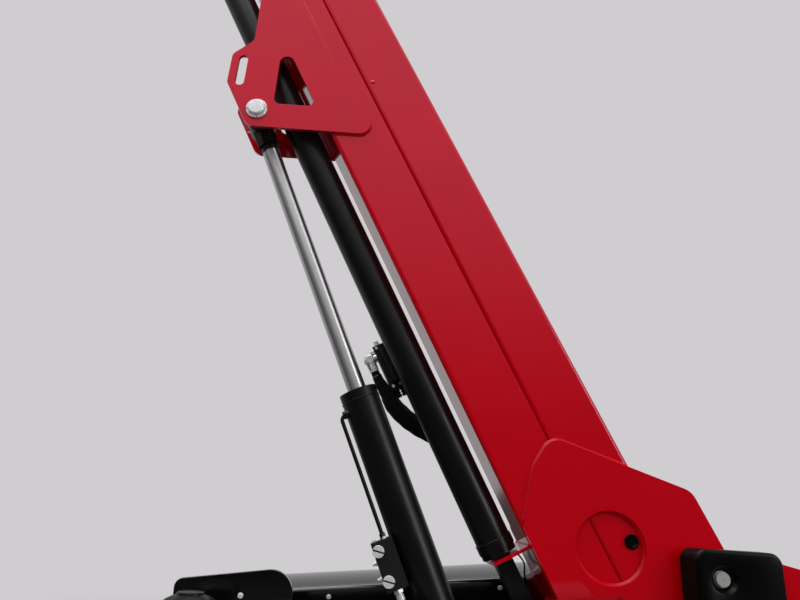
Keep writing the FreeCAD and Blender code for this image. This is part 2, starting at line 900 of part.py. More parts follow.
def liftBarrel():
    mouth = barrelTop - glandHead
    body = rod(barrelRadius, barrelStart, mouth)
    half = baseEyeWidth / 2
    neck = block(
        0, barrelStart, -half + baseNeckEdge, half - baseNeckEdge, -half + baseNeckEdge, half - baseNeckEdge)
    body = body.fuse([crossCylinder(baseEyeRadius, -half, half, 0, 0), neck])
    body = body.cut(rod(barrelBore, barrelStart + barrelFloor, mouth))
    return body.cut(crossCylinder(basePinRadius + pinClearance, -half, half, 0, 0))


def liftGland():
    """Screwed gland on the mouth of the barrel."""
    body = rod(barrelRadius, barrelTop - glandHead, barrelTop)
    return body.cut(rod(rodRadius + rodClearance, barrelTop - glandHead, barrelTop))


def valveBlock():
    """Load-holding valve on the front of the barrel."""
    half = valveWidth / 2
    body = block(
        liftLength - valveBottom, liftLength - valveTop, valveY - half, valveY + half,
        -barrelRadius - valveHeight, -barrelRadius + valveSaddle)
    return body.cut(rod(barrelRadius, barrelStart, barrelTop))


def hardLine():
    """Steel pipe from the valve along the barrel to the port boss at its top."""
    start = liftLength - valveTop
    end = liftLength - pipeTop
    z = -barrelRadius - pipeStandoff
    along = vector(1, 0, 0)
    mouth = Part.Face(eightSided(pipeRadius, vector(end - pipeBend, pipeY, z), along, across))
    run = mouth.extrude(vector(start - end + pipeBend, 0, 0))
    bend = mouth.revolve(vector(end - pipeBend, pipeY, z + pipeBend), across * -1, 90)
    boss = Part.makeCylinder(portRadius, barrelRadius, vector(end, pipeY, -barrelRadius - portHeight), up)
    return run.fuse([bend, boss.cut(rod(barrelRadius, barrelStart, barrelTop))])


def liftRod():
    return rod(rodRadius, liftLength - rodLength, liftLength - rodEyeRadius - rodNeckLength)


def rodEye():
    """Black end of the rod: an eight-sided neck and the eye with its cross bore."""
    start = vector(liftLength - rodEyeRadius - rodNeckLength, 0, 0)
    section = Part.Face(eightSided(rodNeckRadius, start, vector(1, 0, 0), across))
    neck = section.extrude(vector(rodEyeRadius + rodNeckLength, 0, 0))
    half = rodEyeWidth / 2
    body = neck.fuse(crossCylinder(rodEyeRadius, -half, half, liftLength, 0))
    return body.cut(crossCylinder(rodPinRadius + rodEyeClearance, -half, half, liftLength, 0))


def build():
    os.makedirs("parts", exist_ok=True)
    export("slew_ring_fixed", slewRingFixed())
    export("slew_ring_turning", slewRingTurning())
    export("turret_plate", turretPlate())
    boss = baseEyeWidth / 2 + pivotSideGap
    export("turret_cheek_near", cheek(-cheekOutside, -cheekInside, -cheekOutside, -boss))
    export("turret_cheek_far", cheek(cheekInside, cheekOutside, boss, cheekOutside))
    export("cheek_web", cheekWeb())
    export("pivot_housing_near", pivotHousing(-cheekOutside - housingDepth, -cheekOutside))
    export("pivot_housing_far", pivotHousing(cheekOutside, cheekOutside + housingDepth))
    reach = cheekOutside + footPinReach
    export("boom_foot_pin", crossCylinder(footPinRadius, -reach, reach, footX, footZ))
    reach = cheekOutside + basePinEnd
    export("cylinder_base_pin", crossCylinder(basePinRadius, -reach, reach, baseX, baseZ))
    export("tail_weight", tailWeight())
    export("turret_cover_near", cover(
        coverFront, nearCoverRear, -coverInside, -coverOutside, nearCoverTop))
    export("turret_cover_far", cover(
        coverFront, farCoverRear, coverInside, coverOutside, farCoverTop))
    export("front_guard", frontGuard())
    export("filler_cap", fillerCap())

    export("boom_outer_section", onBoom(boomOuterSection()))
    export("foot_plate_near", onBoom(footPlate(halfBoom, boomPlates)))
    export("foot_plate_far", onBoom(footPlate(-boomPlates, -halfBoom)))
    export("boom_foot_tube", onBoom(footTube()))
    export("cylinder_bracket_near", onBoom(bracket(halfBoom, boomPlates)))
    export("cylinder_bracket_far", onBoom(bracket(-boomPlates, -halfBoom)))
    export("bracket_pins", onBoom(bracketPins()))
    export("boom_collar", onBoom(boomCollar()))
    export("front_slide_pads", onBoom(frontPads()))
    export("extension_barrel", onBoom(extensionBarrel()))
    export("extension_tab", onBoom(extensionTab()))
    export("extension_lugs", onBoom(extensionLugs()))
    export("extension_base_pin", onBoom(extensionPin()))
    export("extension_clamp", onBoom(extensionClamp()))
    export("manifold_block", onBoom(manifoldBlock()))
    export("manifold_bracket", onBoom(manifoldBracket()))
    export("hose_sleeve", onBoom(hoseSleeve()))

    export("boom_inner_section", onBoom(innerSection()))
    export("rear_slide_pads", onBoom(rearPads()))
    export("boom_head", onBoom(boomHead()))
    export("extension_rod", onBoom(extensionRod()))
    export("extension_rod_pin", onBoom(rodLugPin()))

    export("lift_barrel", onLift(liftBarrel()))
    export("lift_gland", onLift(liftGland()))
    export("valve_block", onLift(valveBlock()))
    export("hard_line", onLift(hardLine()))

    export("lift_rod", onLift(liftRod()))
    export("rod_eye", onLift(rodEye()))


build()
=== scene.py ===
import json
import math

import bmesh
import bpy
from mathutils import Matrix, Vector


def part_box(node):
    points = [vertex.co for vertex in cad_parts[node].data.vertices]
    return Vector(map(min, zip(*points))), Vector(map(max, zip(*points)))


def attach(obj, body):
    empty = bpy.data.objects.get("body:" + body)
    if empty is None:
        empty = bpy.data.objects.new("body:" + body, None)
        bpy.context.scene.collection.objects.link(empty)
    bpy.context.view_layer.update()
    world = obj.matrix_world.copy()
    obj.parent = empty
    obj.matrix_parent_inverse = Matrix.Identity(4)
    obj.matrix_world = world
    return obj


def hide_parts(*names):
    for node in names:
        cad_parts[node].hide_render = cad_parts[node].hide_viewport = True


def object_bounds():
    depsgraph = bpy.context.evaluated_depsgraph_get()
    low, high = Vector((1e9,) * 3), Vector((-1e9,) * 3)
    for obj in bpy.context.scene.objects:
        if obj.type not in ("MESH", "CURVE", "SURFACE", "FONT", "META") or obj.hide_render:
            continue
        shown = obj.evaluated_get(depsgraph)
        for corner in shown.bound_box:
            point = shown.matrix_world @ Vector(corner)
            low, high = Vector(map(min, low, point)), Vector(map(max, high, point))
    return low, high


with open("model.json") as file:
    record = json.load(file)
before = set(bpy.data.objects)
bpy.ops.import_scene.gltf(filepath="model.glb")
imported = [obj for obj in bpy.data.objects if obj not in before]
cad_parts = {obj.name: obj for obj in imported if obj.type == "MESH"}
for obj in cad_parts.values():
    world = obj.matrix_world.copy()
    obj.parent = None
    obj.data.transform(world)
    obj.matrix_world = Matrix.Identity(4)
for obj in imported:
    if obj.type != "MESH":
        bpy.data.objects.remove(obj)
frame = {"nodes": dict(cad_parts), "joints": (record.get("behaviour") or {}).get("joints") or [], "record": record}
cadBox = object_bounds()
nodes = frame["nodes"]
joints = {joint["name"]: joint for joint in frame["joints"]}
scene = bpy.context.scene
mm = 0.001
print("frame loaded:", len(nodes), "nodes")


def linear(hexColour):  # sRGB hex to linear RGBA
    channels = [int(hexColour[i:i + 2], 16) / 255 for i in (1, 3, 5)]
    return [c / 12.92 if c <= 0.04045 else ((c + 0.055) / 1.055) ** 2.4 for c in channels] + [1.0]


def setSockets(tree, node, values):  # each value is a plain setting, or another node's socket to link
    for name, value in values.items():
        if isinstance(value, bpy.types.NodeSocket):
            tree.links.new(value, node.inputs[name])
        else:
            node.inputs[name].default_value = value


def addNode(tree, kind, inputs=None, **settings):
    node = tree.nodes.new(kind)
    for name, value in settings.items():
        setattr(node, name, value)
    setSockets(tree, node, inputs or {})
    return node


def addObject(name, data):
    added = bpy.data.objects.new(name, data)
    scene.collection.objects.link(added)
    return added


# Frames of the moving bodies: x along the boom or the cylinder, y to the near side, z away from it

def frameAt(origin, along):
    away = Vector((along.z, 0, -along.x))
    near = Vector((0, -1, 0))
    turn = Matrix((along, near, away)).transposed().to_4x4()
    return Matrix.Translation(origin) @ turn @ Matrix.Scale(mm, 4)


footPivot = Vector(joints["boom_lift"]["pos_m"])
basePivot = Vector(joints["cylinder_swing"]["pos_m"])
onBoom = frameAt(footPivot, Vector(joints["boom_extend"]["axis"]).normalized())
onLift = frameAt(basePivot, Vector(joints["rod_slide"]["axis"]).normalized())
onTurret = Matrix.Scale(mm, 4)
rodPin = {"s": 1615, "n": -523}  # pin of the lift cylinder's rod, in the boom's frame
liftLength = (onLift.inverted() @ onBoom @ Vector((rodPin["s"], 0, rodPin["n"]))).x


# Materials

def startMaterial(name, roundedEdge=0.0):
    material = bpy.data.materials.new(name)
    material.use_nodes = True
    tree = material.node_tree
    shader = tree.nodes["Principled BSDF"]
    coordinates = addNode(tree, "ShaderNodeTexCoord").outputs["Object"]
    edge = None
    if roundedEdge:  # radius in mm that catches the light along sharp edges
        edge = addNode(tree, "ShaderNodeBevel", {"Radius": roundedEdge * mm}, samples=4).outputs["Normal"]
    return material, tree, shader, coordinates, edge


redPaint = {"colour": "#C20109", "deep": "#B20107", "shadeSize": 260.0, "peelSize": 5.0, "roughness": 0.14,
            "pearl": "#2A00FF"}


def redTopcoat(name, coat, glow):  # two-pack polyurethane on welded plate: deep gloss, faint orange peel
    material, tree, shader, coordinates, edge = startMaterial(name, 2.5)
    shade = addNode(tree, "ShaderNodeTexNoise", {
        "Vector": coordinates, "Scale": 1 / (redPaint["shadeSize"] * mm), "Detail": 2.0})
    colour = addNode(tree, "ShaderNodeMix", {
        "Factor": shade.outputs["Fac"], "A": linear(redPaint["deep"]), "B": linear(redPaint["colour"])},
        data_type="RGBA")
    peel = addNode(tree, "ShaderNodeTexNoise", {
        "Vector": coordinates, "Scale": 1 / (redPaint["peelSize"] * mm), "Detail": 1.0})
    bump = addNode(tree, "ShaderNodeBump", {
        "Height": peel.outputs["Fac"], "Distance": 0.06 * mm, "Strength": 0.25, "Normal": edge})
    setSockets(tree, shader, {
        "Base Color": colour.outputs["Result"], "Normal": bump.outputs["Normal"],
        "Roughness": redPaint["roughness"], "Specular IOR Level": glow,
        "Specular Tint": linear(redPaint["pearl"]),
        "Coat Weight": coat, "Coat Roughness": 0.1, "Coat IOR": 1.5})
    return material


def blackEnamel():  # sprayed gloss enamel on drawn tube: near black, soft long highlights
    material, tree, shader, coordinates, edge = startMaterial("blackEnamel", 1.5)
    peel = addNode(tree, "ShaderNodeTexNoise", {
        "Vector": coordinates, "Scale": 1 / (4 * mm), "Detail": 2.0})
    bump = addNode(tree, "ShaderNodeBump", {
        "Height": peel.outputs["Fac"], "Distance": 0.08 * mm, "Strength": 0.3, "Normal": edge})
    dust = addNode(tree, "ShaderNodeTexNoise", {
        "Vector": coordinates, "Scale": 1 / (90 * mm), "Detail": 6.0, "Roughness": 0.7})
    dulled = addNode(tree, "ShaderNodeMapRange", {
        "Value": dust.outputs["Fac"], "From Min": 0.3, "From Max": 0.75, "To Min": 0.26, "To Max": 0.4})
    setSockets(tree, shader, {
        "Base Color": linear("#0A090A"), "Roughness": dulled.outputs["Result"],
        "Normal": bump.outputs["Normal"], "Specular IOR Level": 0.4})
    return material


def chromePlate(axis):  # hard chrome, ground round the rod, so its highlights stretch along it
    material, tree, shader, coordinates, edge = startMaterial("chromePlate")
    lines = addNode(tree, "ShaderNodeTexNoise", {
        "Vector": coordinates, "Scale": 1 / (1.5 * mm), "Detail": 3.0})
    ground = addNode(tree, "ShaderNodeMapRange", {
        "Value": lines.outputs["Fac"], "To Min": 0.3, "To Max": 0.38})
    along = addNode(tree, "ShaderNodeCombineXYZ", {"X": axis.x, "Y": axis.y, "Z": axis.z})
    setSockets(tree, shader, {
        "Base Color": linear("#E6E6E8"), "Metallic": 1.0, "Roughness": ground.outputs["Result"],
        "Anisotropic": 0.9, "Tangent": along.outputs["Vector"]})
    return material


def zincPlate():  # bright zinc on bolts and fittings: silver with a faint blue cast and cloudy grain
    material, tree, shader, coordinates, edge = startMaterial("zincPlate", 0.6)
    cloud = addNode(tree, "ShaderNodeTexNoise", {
        "Vector": coordinates, "Scale": 1 / (5 * mm), "Detail": 5.0})
    colour = addNode(tree, "ShaderNodeMix", {
        "Factor": cloud.outputs["Fac"], "A": linear("#DFE2E5"), "B": linear("#FAFBFC")}, data_type="RGBA")
    clouded = addNode(tree, "ShaderNodeMapRange", {
        "Value": cloud.outputs["Fac"], "To Min": 0.16, "To Max": 0.34})
    bump = addNode(tree, "ShaderNodeBump", {
        "Height": cloud.outputs["Fac"], "Distance": 0.02 * mm, "Strength": 0.2, "Normal": edge})
    setSockets(tree, shader, {
        "Base Color": colour.outputs["Result"], "Roughness": clouded.outputs["Result"],
        "Normal": bump.outputs["Normal"], "Metallic": 0.4})
    return material


def paintedSeamShade():  # dark, matt red that paints the shade in the crevice of the lapped seam
    material, tree, shader, coordinates, edge = startMaterial("paintedSeamShade")
    brush = addNode(tree, "ShaderNodeTexNoise", {
        "Vector": coordinates, "Scale": 1 / (9 * mm), "Detail": 3.0})
    # two dark reds, mixed by a brushed noise: painted shade of the seam's crevice
    colour = addNode(tree, "ShaderNodeMix", {
        "Factor": brush.outputs["Fac"], "A": linear("#7C0008"), "B": linear("#8C010A")}, data_type="RGBA")
    setSockets(tree, shader, {
        "Base Color": colour.outputs["Result"], "Roughness": 0.7, "Specular IOR Level": 0.0})
    return material


# The plainer finishes: one colour over one grain, whose size and depth are in mm

def grained(name, roundedEdge, texture, size, detail, depth, strength, values, **settings):
    material, tree, shader, coordinates, edge = startMaterial(name, roundedEdge)
    grain = addNode(tree, "ShaderNodeTex" + texture, {
        "Vector": coordinates, "Scale": 1 / (size * mm), **detail}, **settings)
    relief = {"Height": grain.outputs["Distance" if texture == "Voronoi" else "Fac"],
              "Distance": depth * mm, "Strength": strength}
    if edge:
        relief["Normal"] = edge
    bump = addNode(tree, "ShaderNodeBump", relief)
    setSockets(tree, shader, {**values, "Normal": bump.outputs["Normal"]})
    return material


def turnedSteel():  # pins turned on a lathe: grey steel with a fine grain
    return grained("turnedSteel", 0.5, "Noise", 2, {"Detail": 4.0}, 0.04, 0.3, {
        "Base Color": linear("#C4C2BC"), "Metallic": 0.7, "Roughness": 0.42})


def mouldedPlastic():  # vacuum-formed ABS with a gloss cap sheet: black, mirrors the room along flat tops
    return grained("mouldedPlastic", 3.0, "Voronoi", 1.6, {}, 0.03, 0.2, {
        "Base Color": linear("#070607"), "Roughness": 0.12, "Specular IOR Level": 0.9,
        "Coat Weight": 1.0, "Coat Roughness": 0.12}, feature="SMOOTH_F1")


def softMoulding():  # black polyurethane skin on the pivot caps: dull and slightly rubbery
    return grained("softMoulding", 0.0, "Noise", 1.4, {"Detail": 2.0}, 0.06, 0.3, {
        "Base Color": linear("#040404"), "Roughness": 0.27, "Specular IOR Level": 0.2})


def anodisedBlack():  # valve bodies in black anodised aluminium: dull, sawn and milled faces
    return grained("anodisedBlack", 0.8, "Noise", 1.2, {"Detail": 3.0}, 0.05, 0.3, {
        "Base Color": linear("#0E0E10"), "Roughness": 0.48})


def sandCasting():  # painted grey-iron casting: the sand's pits show through the paint
    return grained("sandCasting", 4.0, "Noise", 6, {"Detail": 8.0, "Roughness": 0.65}, 1.2, 0.35, {
        "Base Color": linear("#161617"), "Roughness": 0.5})


def castNylon():  # wear pads of natural cast polyamide: waxy off-white with saw marks
    return grained("castNylon", 1.0, "Wave", 12, {"Distortion": 1.0}, 0.05, 0.3, {
        "Base Color": linear("#DCD8CB"), "Roughness": 0.5, "Subsurface Weight": 0.05})


def braidedNylon():  # woven sleeve round the hoses: dull black, crossing strands
    return grained("braidedNylon", 0.0, "Voronoi", 2.2, {}, 0.5, 0.5, {
        "Base Color": linear("#060607"), "Roughness": 0.8, "Specular IOR Level": 0.2, "Sheen Weight": 0.04})


finishes = {
    "red_paint": redTopcoat("redTopcoat", 1.0, 0.3), "weld_paint": redTopcoat("weldTopcoat", 0.4, 0.05),
    "black_paint": blackEnamel(), "black_moulding": mouldedPlastic(),
    # painted_seam_shade: the dark strip that paints the shade along the boom's seam
    "soft_moulding": softMoulding(), "painted_seam_shade": paintedSeamShade(),
    "chrome_rod": chromePlate(onLift.to_3x3() @ Vector((1, 0, 0))),
    "turned_steel": turnedSteel(), "zinc_steel": zincPlate(),
    "ring_steel": blackEnamel(), "black_casting": sandCasting(), "black_anodised": anodisedBlack(),
    "hose_textile": braidedNylon(), "pad_plastic": castNylon()}

for part in frame["record"]["subparts"]:
    cad = nodes[part["node"]]
    cad.data.materials.clear()
    cad.data.materials.append(finishes[part["material_slot"]])
print("finishes set:", len(finishes))


# Studio

studio = {
    "backdrop": "#D0CDD0", "floor": "#B5B2B5", "shade": "#3A393A", "floorRadius": 7.0, "floorDrop": 0.002,
    "fade": (3.5, 6.5), "daylight": "#FFFFFF", "mirrored": "#FFFDFF", "overhead": (0.05, 0.65),
    "overheadLevel": (0.002, 0.62), "behind": (-0.15, 0.25), "behindLevel": 0.42}


def buildWorld():  # a glossy face sees a bright ceiling, dark walls and a pale wall behind the boom
    world = bpy.data.worlds.new("studio")
    scene.world = world
    world.use_nodes = True
    tree = world.node_tree
    tree.nodes.clear()
    direction = addNode(tree, "ShaderNodeTexCoord").outputs["Generated"]
    split = addNode(tree, "ShaderNodeSeparateXYZ", {"Vector": direction})
    overhead = addNode(tree, "ShaderNodeMapRange", {
        "Value": split.outputs["Z"], "From Min": studio["overhead"][0], "From Max": studio["overhead"][1],
        "To Min": studio["overheadLevel"][0], "To Max": studio["overheadLevel"][1]},
        interpolation_type="SMOOTHSTEP")
    behind = addNode(tree, "ShaderNodeMapRange", {
        "Value": split.outputs["Y"], "From Min": studio["behind"][0], "From Max": studio["behind"][1]})
    side = addNode(tree, "ShaderNodeMix", {
        "Factor": behind.outputs["Result"], "A": overhead.outputs["Result"], "B": studio["behindLevel"]})
    mirrored = addNode(tree, "ShaderNodeBackground", {
        "Color": linear(studio["mirrored"]), "Strength": side.outputs["Result"]})
    daylight = addNode(tree, "ShaderNodeBackground", {"Color": linear(studio["daylight"]), "Strength": 1.0})
    backdrop = addNode(tree, "ShaderNodeBackground", {"Color": linear(studio["backdrop"]), "Strength": 1.0})
    paths = addNode(tree, "ShaderNodeLightPath")
    glossy = addNode(tree, "ShaderNodeMixShader", {
        "Fac": paths.outputs["Is Glossy Ray"], 1: daylight.outputs[0], 2: mirrored.outputs[0]})
    seen = addNode(tree, "ShaderNodeMixShader", {
        "Fac": paths.outputs["Is Camera Ray"], 1: glossy.outputs[0], 2: backdrop.outputs[0]})
    addNode(tree, "ShaderNodeOutputWorld", {"Surface": seen.outputs[0]})


def buildFloor():  # the camera sees it fade into the backdrop; the boom sees a dark floor
    bm = bmesh.new()
    bmesh.ops.create_circle(bm, cap_ends=True, segments=96, radius=studio["floorRadius"])
    mesh = bpy.data.meshes.new("floor")
    bm.to_mesh(mesh)
    bm.free()
    mesh.transform(Matrix.Translation((0, 0, cadBox[0].z - studio["floorDrop"])))
    material, tree, shader, coordinates, edge = startMaterial("studioFloor")
    reach = addNode(tree, "ShaderNodeVectorMath", {0: coordinates}, operation="LENGTH")
    fade = addNode(tree, "ShaderNodeMapRange", {
        "Value": reach.outputs["Value"], "From Min": studio["fade"][0], "From Max": studio["fade"][1]},
        interpolation_type="SMOOTHSTEP")
    glow = addNode(tree, "ShaderNodeEmission", {"Color": linear(studio["backdrop"]), "Strength": 1.0})
    paths = addNode(tree, "ShaderNodeLightPath")
    tone = addNode(tree, "ShaderNodeMix", {
        "Factor": paths.outputs["Is Camera Ray"], "A": linear(studio["shade"]),
        "B": linear(studio["floor"])}, data_type="RGBA")
    far = addNode(tree, "ShaderNodeMath", {
        0: fade.outputs["Result"], 1: paths.outputs["Is Camera Ray"]}, operation="MULTIPLY")
    mix = addNode(tree, "ShaderNodeMixShader", {
        "Fac": far.outputs[0], 1: shader.outputs[0], 2: glow.outputs[0]})
    setSockets(tree, shader, {
        "Base Color": tone.outputs["Result"], "Roughness": 0.8, "Specular IOR Level": 0.0})
    setSockets(tree, tree.nodes["Material Output"], {"Surface": mix.outputs[0]})
    mesh.materials.append(material)
    addObject("floor", mesh)


lamps = {
    "skylight": {"place": (-1.5, -0.5, 6.0), "target": (0, 0, 1.0), "size": (5.0, 5.0), "power": 160},
    "window": {"place": (3.5, -3.0, 2.2), "target": (0, 0, 1.4), "size": (1.4, 2.6), "power": 40}}


def hangLamps():
    for name, lamp in lamps.items():
        data = bpy.data.lights.new(name, "AREA")
        data.shape = "RECTANGLE"
        data.size, data.size_y = lamp["size"]
        data.energy = lamp["power"]
        hung = addObject(name, data)
        hung.location = lamp["place"]
        hung.rotation_mode = "QUATERNION"
        aim = Vector(lamp["target"]) - Vector(lamp["place"])
        hung.rotation_quaternion = aim.to_track_quat("-Z", "Y")


view = {"place": (-0.3593, -1.7220, 0.9279), "yaw": 1.89, "pitch": 17.52, "roll": 2.13, "lens": 29.25,
        "sensor": 36.0, "clip": (0.05, 100.0)}


def buildCamera():
    data = bpy.data.cameras.new("camera")
    data.lens = view["lens"]
    data.sensor_width = view["sensor"]
    data.clip_start, data.clip_end = view["clip"]
    camera = addObject("camera", data)
    turn = (Matrix.Rotation(math.radians(-view["yaw"]), 4, "Z")
            @ Matrix.Rotation(math.radians(90 + view["pitch"]), 4, "X")
            @ Matrix.Rotation(math.radians(view["roll"]), 4, "Z"))
    camera.matrix_world = Matrix.Translation(view["place"]) @ turn
    scene.camera = camera


scene.view_settings.view_transform = "Standard"
buildCamera()
buildWorld()
buildFloor()
hangLamps()
print("studio built")


# Mesh building: every piece is drawn in millimetres in a body's frame, then moved into place

def meshOf(name, bm):
    mesh = bpy.data.meshes.new(name)
    bm.to_mesh(mesh)
    bm.free()
    return mesh


def joinDoubles(bm):
    bmesh.ops.remove_doubles(bm, verts=bm.verts, dist=0.0005)
    bmesh.ops.recalc_face_normals(bm, faces=bm.faces)


def dressPiece(name, body, mesh, finish, sharp):
    mesh.shade_smooth()
    mesh.set_sharp_from_angle(angle=math.radians(sharp))
    mesh.materials.clear()
    mesh.materials.append(finishes[finish])
    piece = addObject(name, mesh)
    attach(piece, body)
    return piece


def finishPiece(name, body, bm, place, finish, sharp=35):
    joinDoubles(bm)
    mesh = meshOf(name, bm)
    mesh.transform(place)
    return dressPiece(name, body, mesh, finish, sharp)


def across(axis):  # two directions square to an axis
    axis = Vector(axis).normalized()
    helper = Vector((0, 0, 1)) if abs(axis.z) < 0.9 else Vector((1, 0, 0))
    first = axis.cross(helper).normalized()
    return axis, first, axis.cross(first).normalized()


def joinRings(bm, rings, closed=False):
    for lower, upper in zip(rings, rings[1:] + (rings[:1] if closed else [])):
        count = max(len(lower), len(upper))
        for k in range(count):
            quad = [lower[k % len(lower)], lower[(k + 1) % len(lower)],
                    upper[(k + 1) % len(upper)], upper[k % len(upper)]]
            corners = [v for n, v in enumerate(quad) if v not in quad[:n]]
            if len(corners) > 2:
                bm.faces.new(corners)


def lathe(bm, profile, origin, axis, segments=48, radiusAt=None, closed=False):
    axis, first, second = across(axis)
    rings = []
    for radius, height in profile:
        base = Vector(origin) + axis * height
        if radius < 1e-6:
            rings.append([bm.verts.new(base)])
            continue
        ring = []
        for k in range(segments):
            turn = 2 * math.pi * k / segments
            reach = radiusAt(radius, height, turn) if radiusAt else radius
            ring.append(bm.verts.new(base + (first * math.cos(turn) + second * math.sin(turn)) * reach))
        rings.append(ring)
    joinRings(bm, rings, closed)


def hexHead(bm, origin, axis, flats, height, washer=0.0, washerHeight=0.0):
    if washer:
        lathe(bm, [(0, 0), (washer - 0.4, 0), (washer, 0.4), (washer, washerHeight - 0.4),
                   (washer - 0.4, washerHeight), (0, washerHeight)], origin, axis, 28)
    corner = flats / math.sqrt(3)
    top = washerHeight + height
    lathe(bm, [(0, washerHeight), (corner, washerHeight), (corner, top - 0.12 * height),
               (corner * 0.9, top), (0, top)], origin, axis, 6)


def socketHead(bm, origin, axis, radius, height):
    key = radius * 0.52
    lathe(bm, [(0, 0), (radius, 0), (radius, height - 0.6), (radius - 0.6, height),
               (key * 1.12, height)], origin, axis, 24)
    lathe(bm, [(key * 1.12, height), (key, height - 0.5), (key, height * 0.35), (0, height * 0.3)],
          origin, axis, 24)


def ringShape(profile, origin, axis, segments):  # a row for lathe whose profile closes on itself
    return profile, origin, axis, segments, None, True


def turnedPiece(name, body, place, finish, shapes, sharp=35):  # a shape is a row for lathe
    bm = bmesh.new()
    for shape in shapes:
        lathe(bm, *shape)
    return finishPiece(name, body, bm, place, finish, sharp)


# Fasteners: one head is drawn, and the tree sets it on every point of a pattern

def startTree(name, sockets):  # sockets: name and kind of each value that a pattern sets
    tree = bpy.data.node_groups.new(name, "GeometryNodeTree")
    for socket, kind in {"Geometry": "Geometry", **sockets}.items():
        tree.interface.new_socket(socket, in_out="INPUT", socket_type="NodeSocket" + kind)
    tree.interface.new_socket("Geometry", in_out="OUTPUT", socket_type="NodeSocketGeometry")
    return tree, addNode(tree, "NodeGroupInput").outputs


def fastenerTree():
    tree, given = startTree("fastenerPattern", {
        "Head": "Object", "Size": "Float", "Seed": "Int", "Spin": "Float", "Material": "Material"})
    facing = addNode(tree, "GeometryNodeInputNamedAttribute", {"Name": "facing"}, data_type="FLOAT_VECTOR")
    aim = addNode(tree, "FunctionNodeAlignRotationToVector", {
        "Vector": facing.outputs["Attribute"]}, axis="Z")
    head = addNode(tree, "GeometryNodeObjectInfo", {"Object": given["Head"]})
    points = addNode(tree, "GeometryNodeMeshToPoints", {"Mesh": given["Geometry"]})
    placed = addNode(tree, "GeometryNodeInstanceOnPoints", {
        "Points": points.outputs["Points"], "Instance": head.outputs["Geometry"],
        "Rotation": aim.outputs["Rotation"], "Scale": given["Size"]})
    turn = addNode(tree, "FunctionNodeRandomValue", {
        "Seed": given["Seed"], 3: given["Spin"]}, data_type="FLOAT")
    spin = addNode(tree, "ShaderNodeCombineXYZ", {"Z": turn.outputs[1]})
    turned = addNode(tree, "GeometryNodeRotateInstances", {
        "Instances": placed.outputs["Instances"], "Rotation": spin.outputs["Vector"]})
    solid = addNode(tree, "GeometryNodeRealizeInstances", {"Geometry": turned.outputs["Instances"]})
    painted = addNode(tree, "GeometryNodeSetMaterial", {
        "Geometry": solid.outputs["Geometry"], "Material": given["Material"]})
    addNode(tree, "NodeGroupOutput", {"Geometry": painted.outputs["Geometry"]})
    return tree


def evaluatedMesh(source):
    bpy.context.view_layer.update()
    return bpy.data.meshes.new_from_object(source.evaluated_get(bpy.context.evaluated_depsgraph_get()))


def runTree(name, body, source, tree, values, finish, sharp=35):
    modifier = source.modifiers.new("pattern", "NODES")
    modifier.node_group = tree
    for item in tree.interface.items_tree:
        if item.in_out == "INPUT" and item.name in values:
            modifier[item.identifier] = values[item.name]
    mesh = evaluatedMesh(source)
    source.modifiers.remove(modifier)
    bpy.data.objects.remove(source)
    return dressPiece(name, body, mesh, finish, sharp)


def headSource(name, build):
    bm = bmesh.new()
    build(bm)
    joinDoubles(bm)
    return addObject(name, meshOf(name, bm))


def scatterHeads(name, body, place, spots, head, size, finish, spin=2 * math.pi):
    mesh = bpy.data.meshes.new(name)
    mesh.from_pydata([tuple(place @ Vector(spot)) for spot, facing in spots], [], [])
    turn = place.to_3x3()
    stored = mesh.attributes.new("facing", "FLOAT_VECTOR", "POINT")
    for k, (spot, facing) in enumerate(spots):
        stored.data[k].vector = (turn @ Vector(facing)).normalized()
    values = {"Head": head, "Size": size * mm, "Seed": len(spots), "Spin": spin,
              "Material": finishes[finish]}
    return runTree(name, body, addObject(name, mesh), fasteners, values, finish)


fasteners = fastenerTree()
hexWithWasher = headSource("hexWithWasher", lambda bm: hexHead(
    bm, (0, 0, 0), (0, 0, 1), 1.8, 0.7, 1.25, 0.18))
panHead = headSource("panHead", lambda bm: lathe(
    bm, [(0, 0), (1.0, 0), (1.0, 0.2), (0.86, 0.48), (0.55, 0.62), (0.34, 0.64), (0.3, 0.34), (0, 0.3)],
    (0, 0, 0), (0, 0, 1), 24))

ringBolts = {"size": 8.0, "circle": 146, "level": 80,
             "angles": (0, 26, 72, 90, 108, 154, 180, 206, 252, 270, 288, 334)}


def setRingBolts():
    spots = []
    for angle in ringBolts["angles"]:
        turn = math.radians(angle)
        spots.append(((ringBolts["circle"] * math.cos(turn), ringBolts["circle"] * math.sin(turn),
                       ringBolts["level"]), (0, 0, 1)))
    scatterHeads("turretBolts", "turret", onTurret, spots, hexWithWasher, ringBolts["size"], "zinc_steel")


padBolts = {"size": 8.0, "s": 2905, "side": 87, "rows": (-95, -298), "across": 26, "top": -27, "under": -367,
            "clampS": 2520, "clampAcross": 54, "clampUnder": -441}


def setPadBolts():  # they hold the slide pads in the collar, and the clamp of the extension cylinder
    s, across, clamp = padBolts["s"], padBolts["across"], padBolts["clampAcross"]
    spots = []
    for side in (1, -1):
        for n in padBolts["rows"]:
            spots.append(((s, side * padBolts["side"], n), (0, side, 0)))
        spots.append(((s, side * across, padBolts["top"]), (0, 0, 1)))
        spots.append(((s, side * across, padBolts["under"]), (0, 0, -1)))
    for y in (-clamp, clamp):
        spots.append(((padBolts["clampS"], y, padBolts["clampUnder"]), (0, 0, -1)))
    scatterHeads("boomBolts", "boom", onBoom, spots, hexWithWasher, padBolts["size"], "zinc_steel")


weight = {"bolt": 14.0, "across": (-210, -70, 70, 210), "height": 0.62, "pocket": 27.0, "depth": 16.0,
          "lip": 2.5, "edge": 1.5, "over": 2}


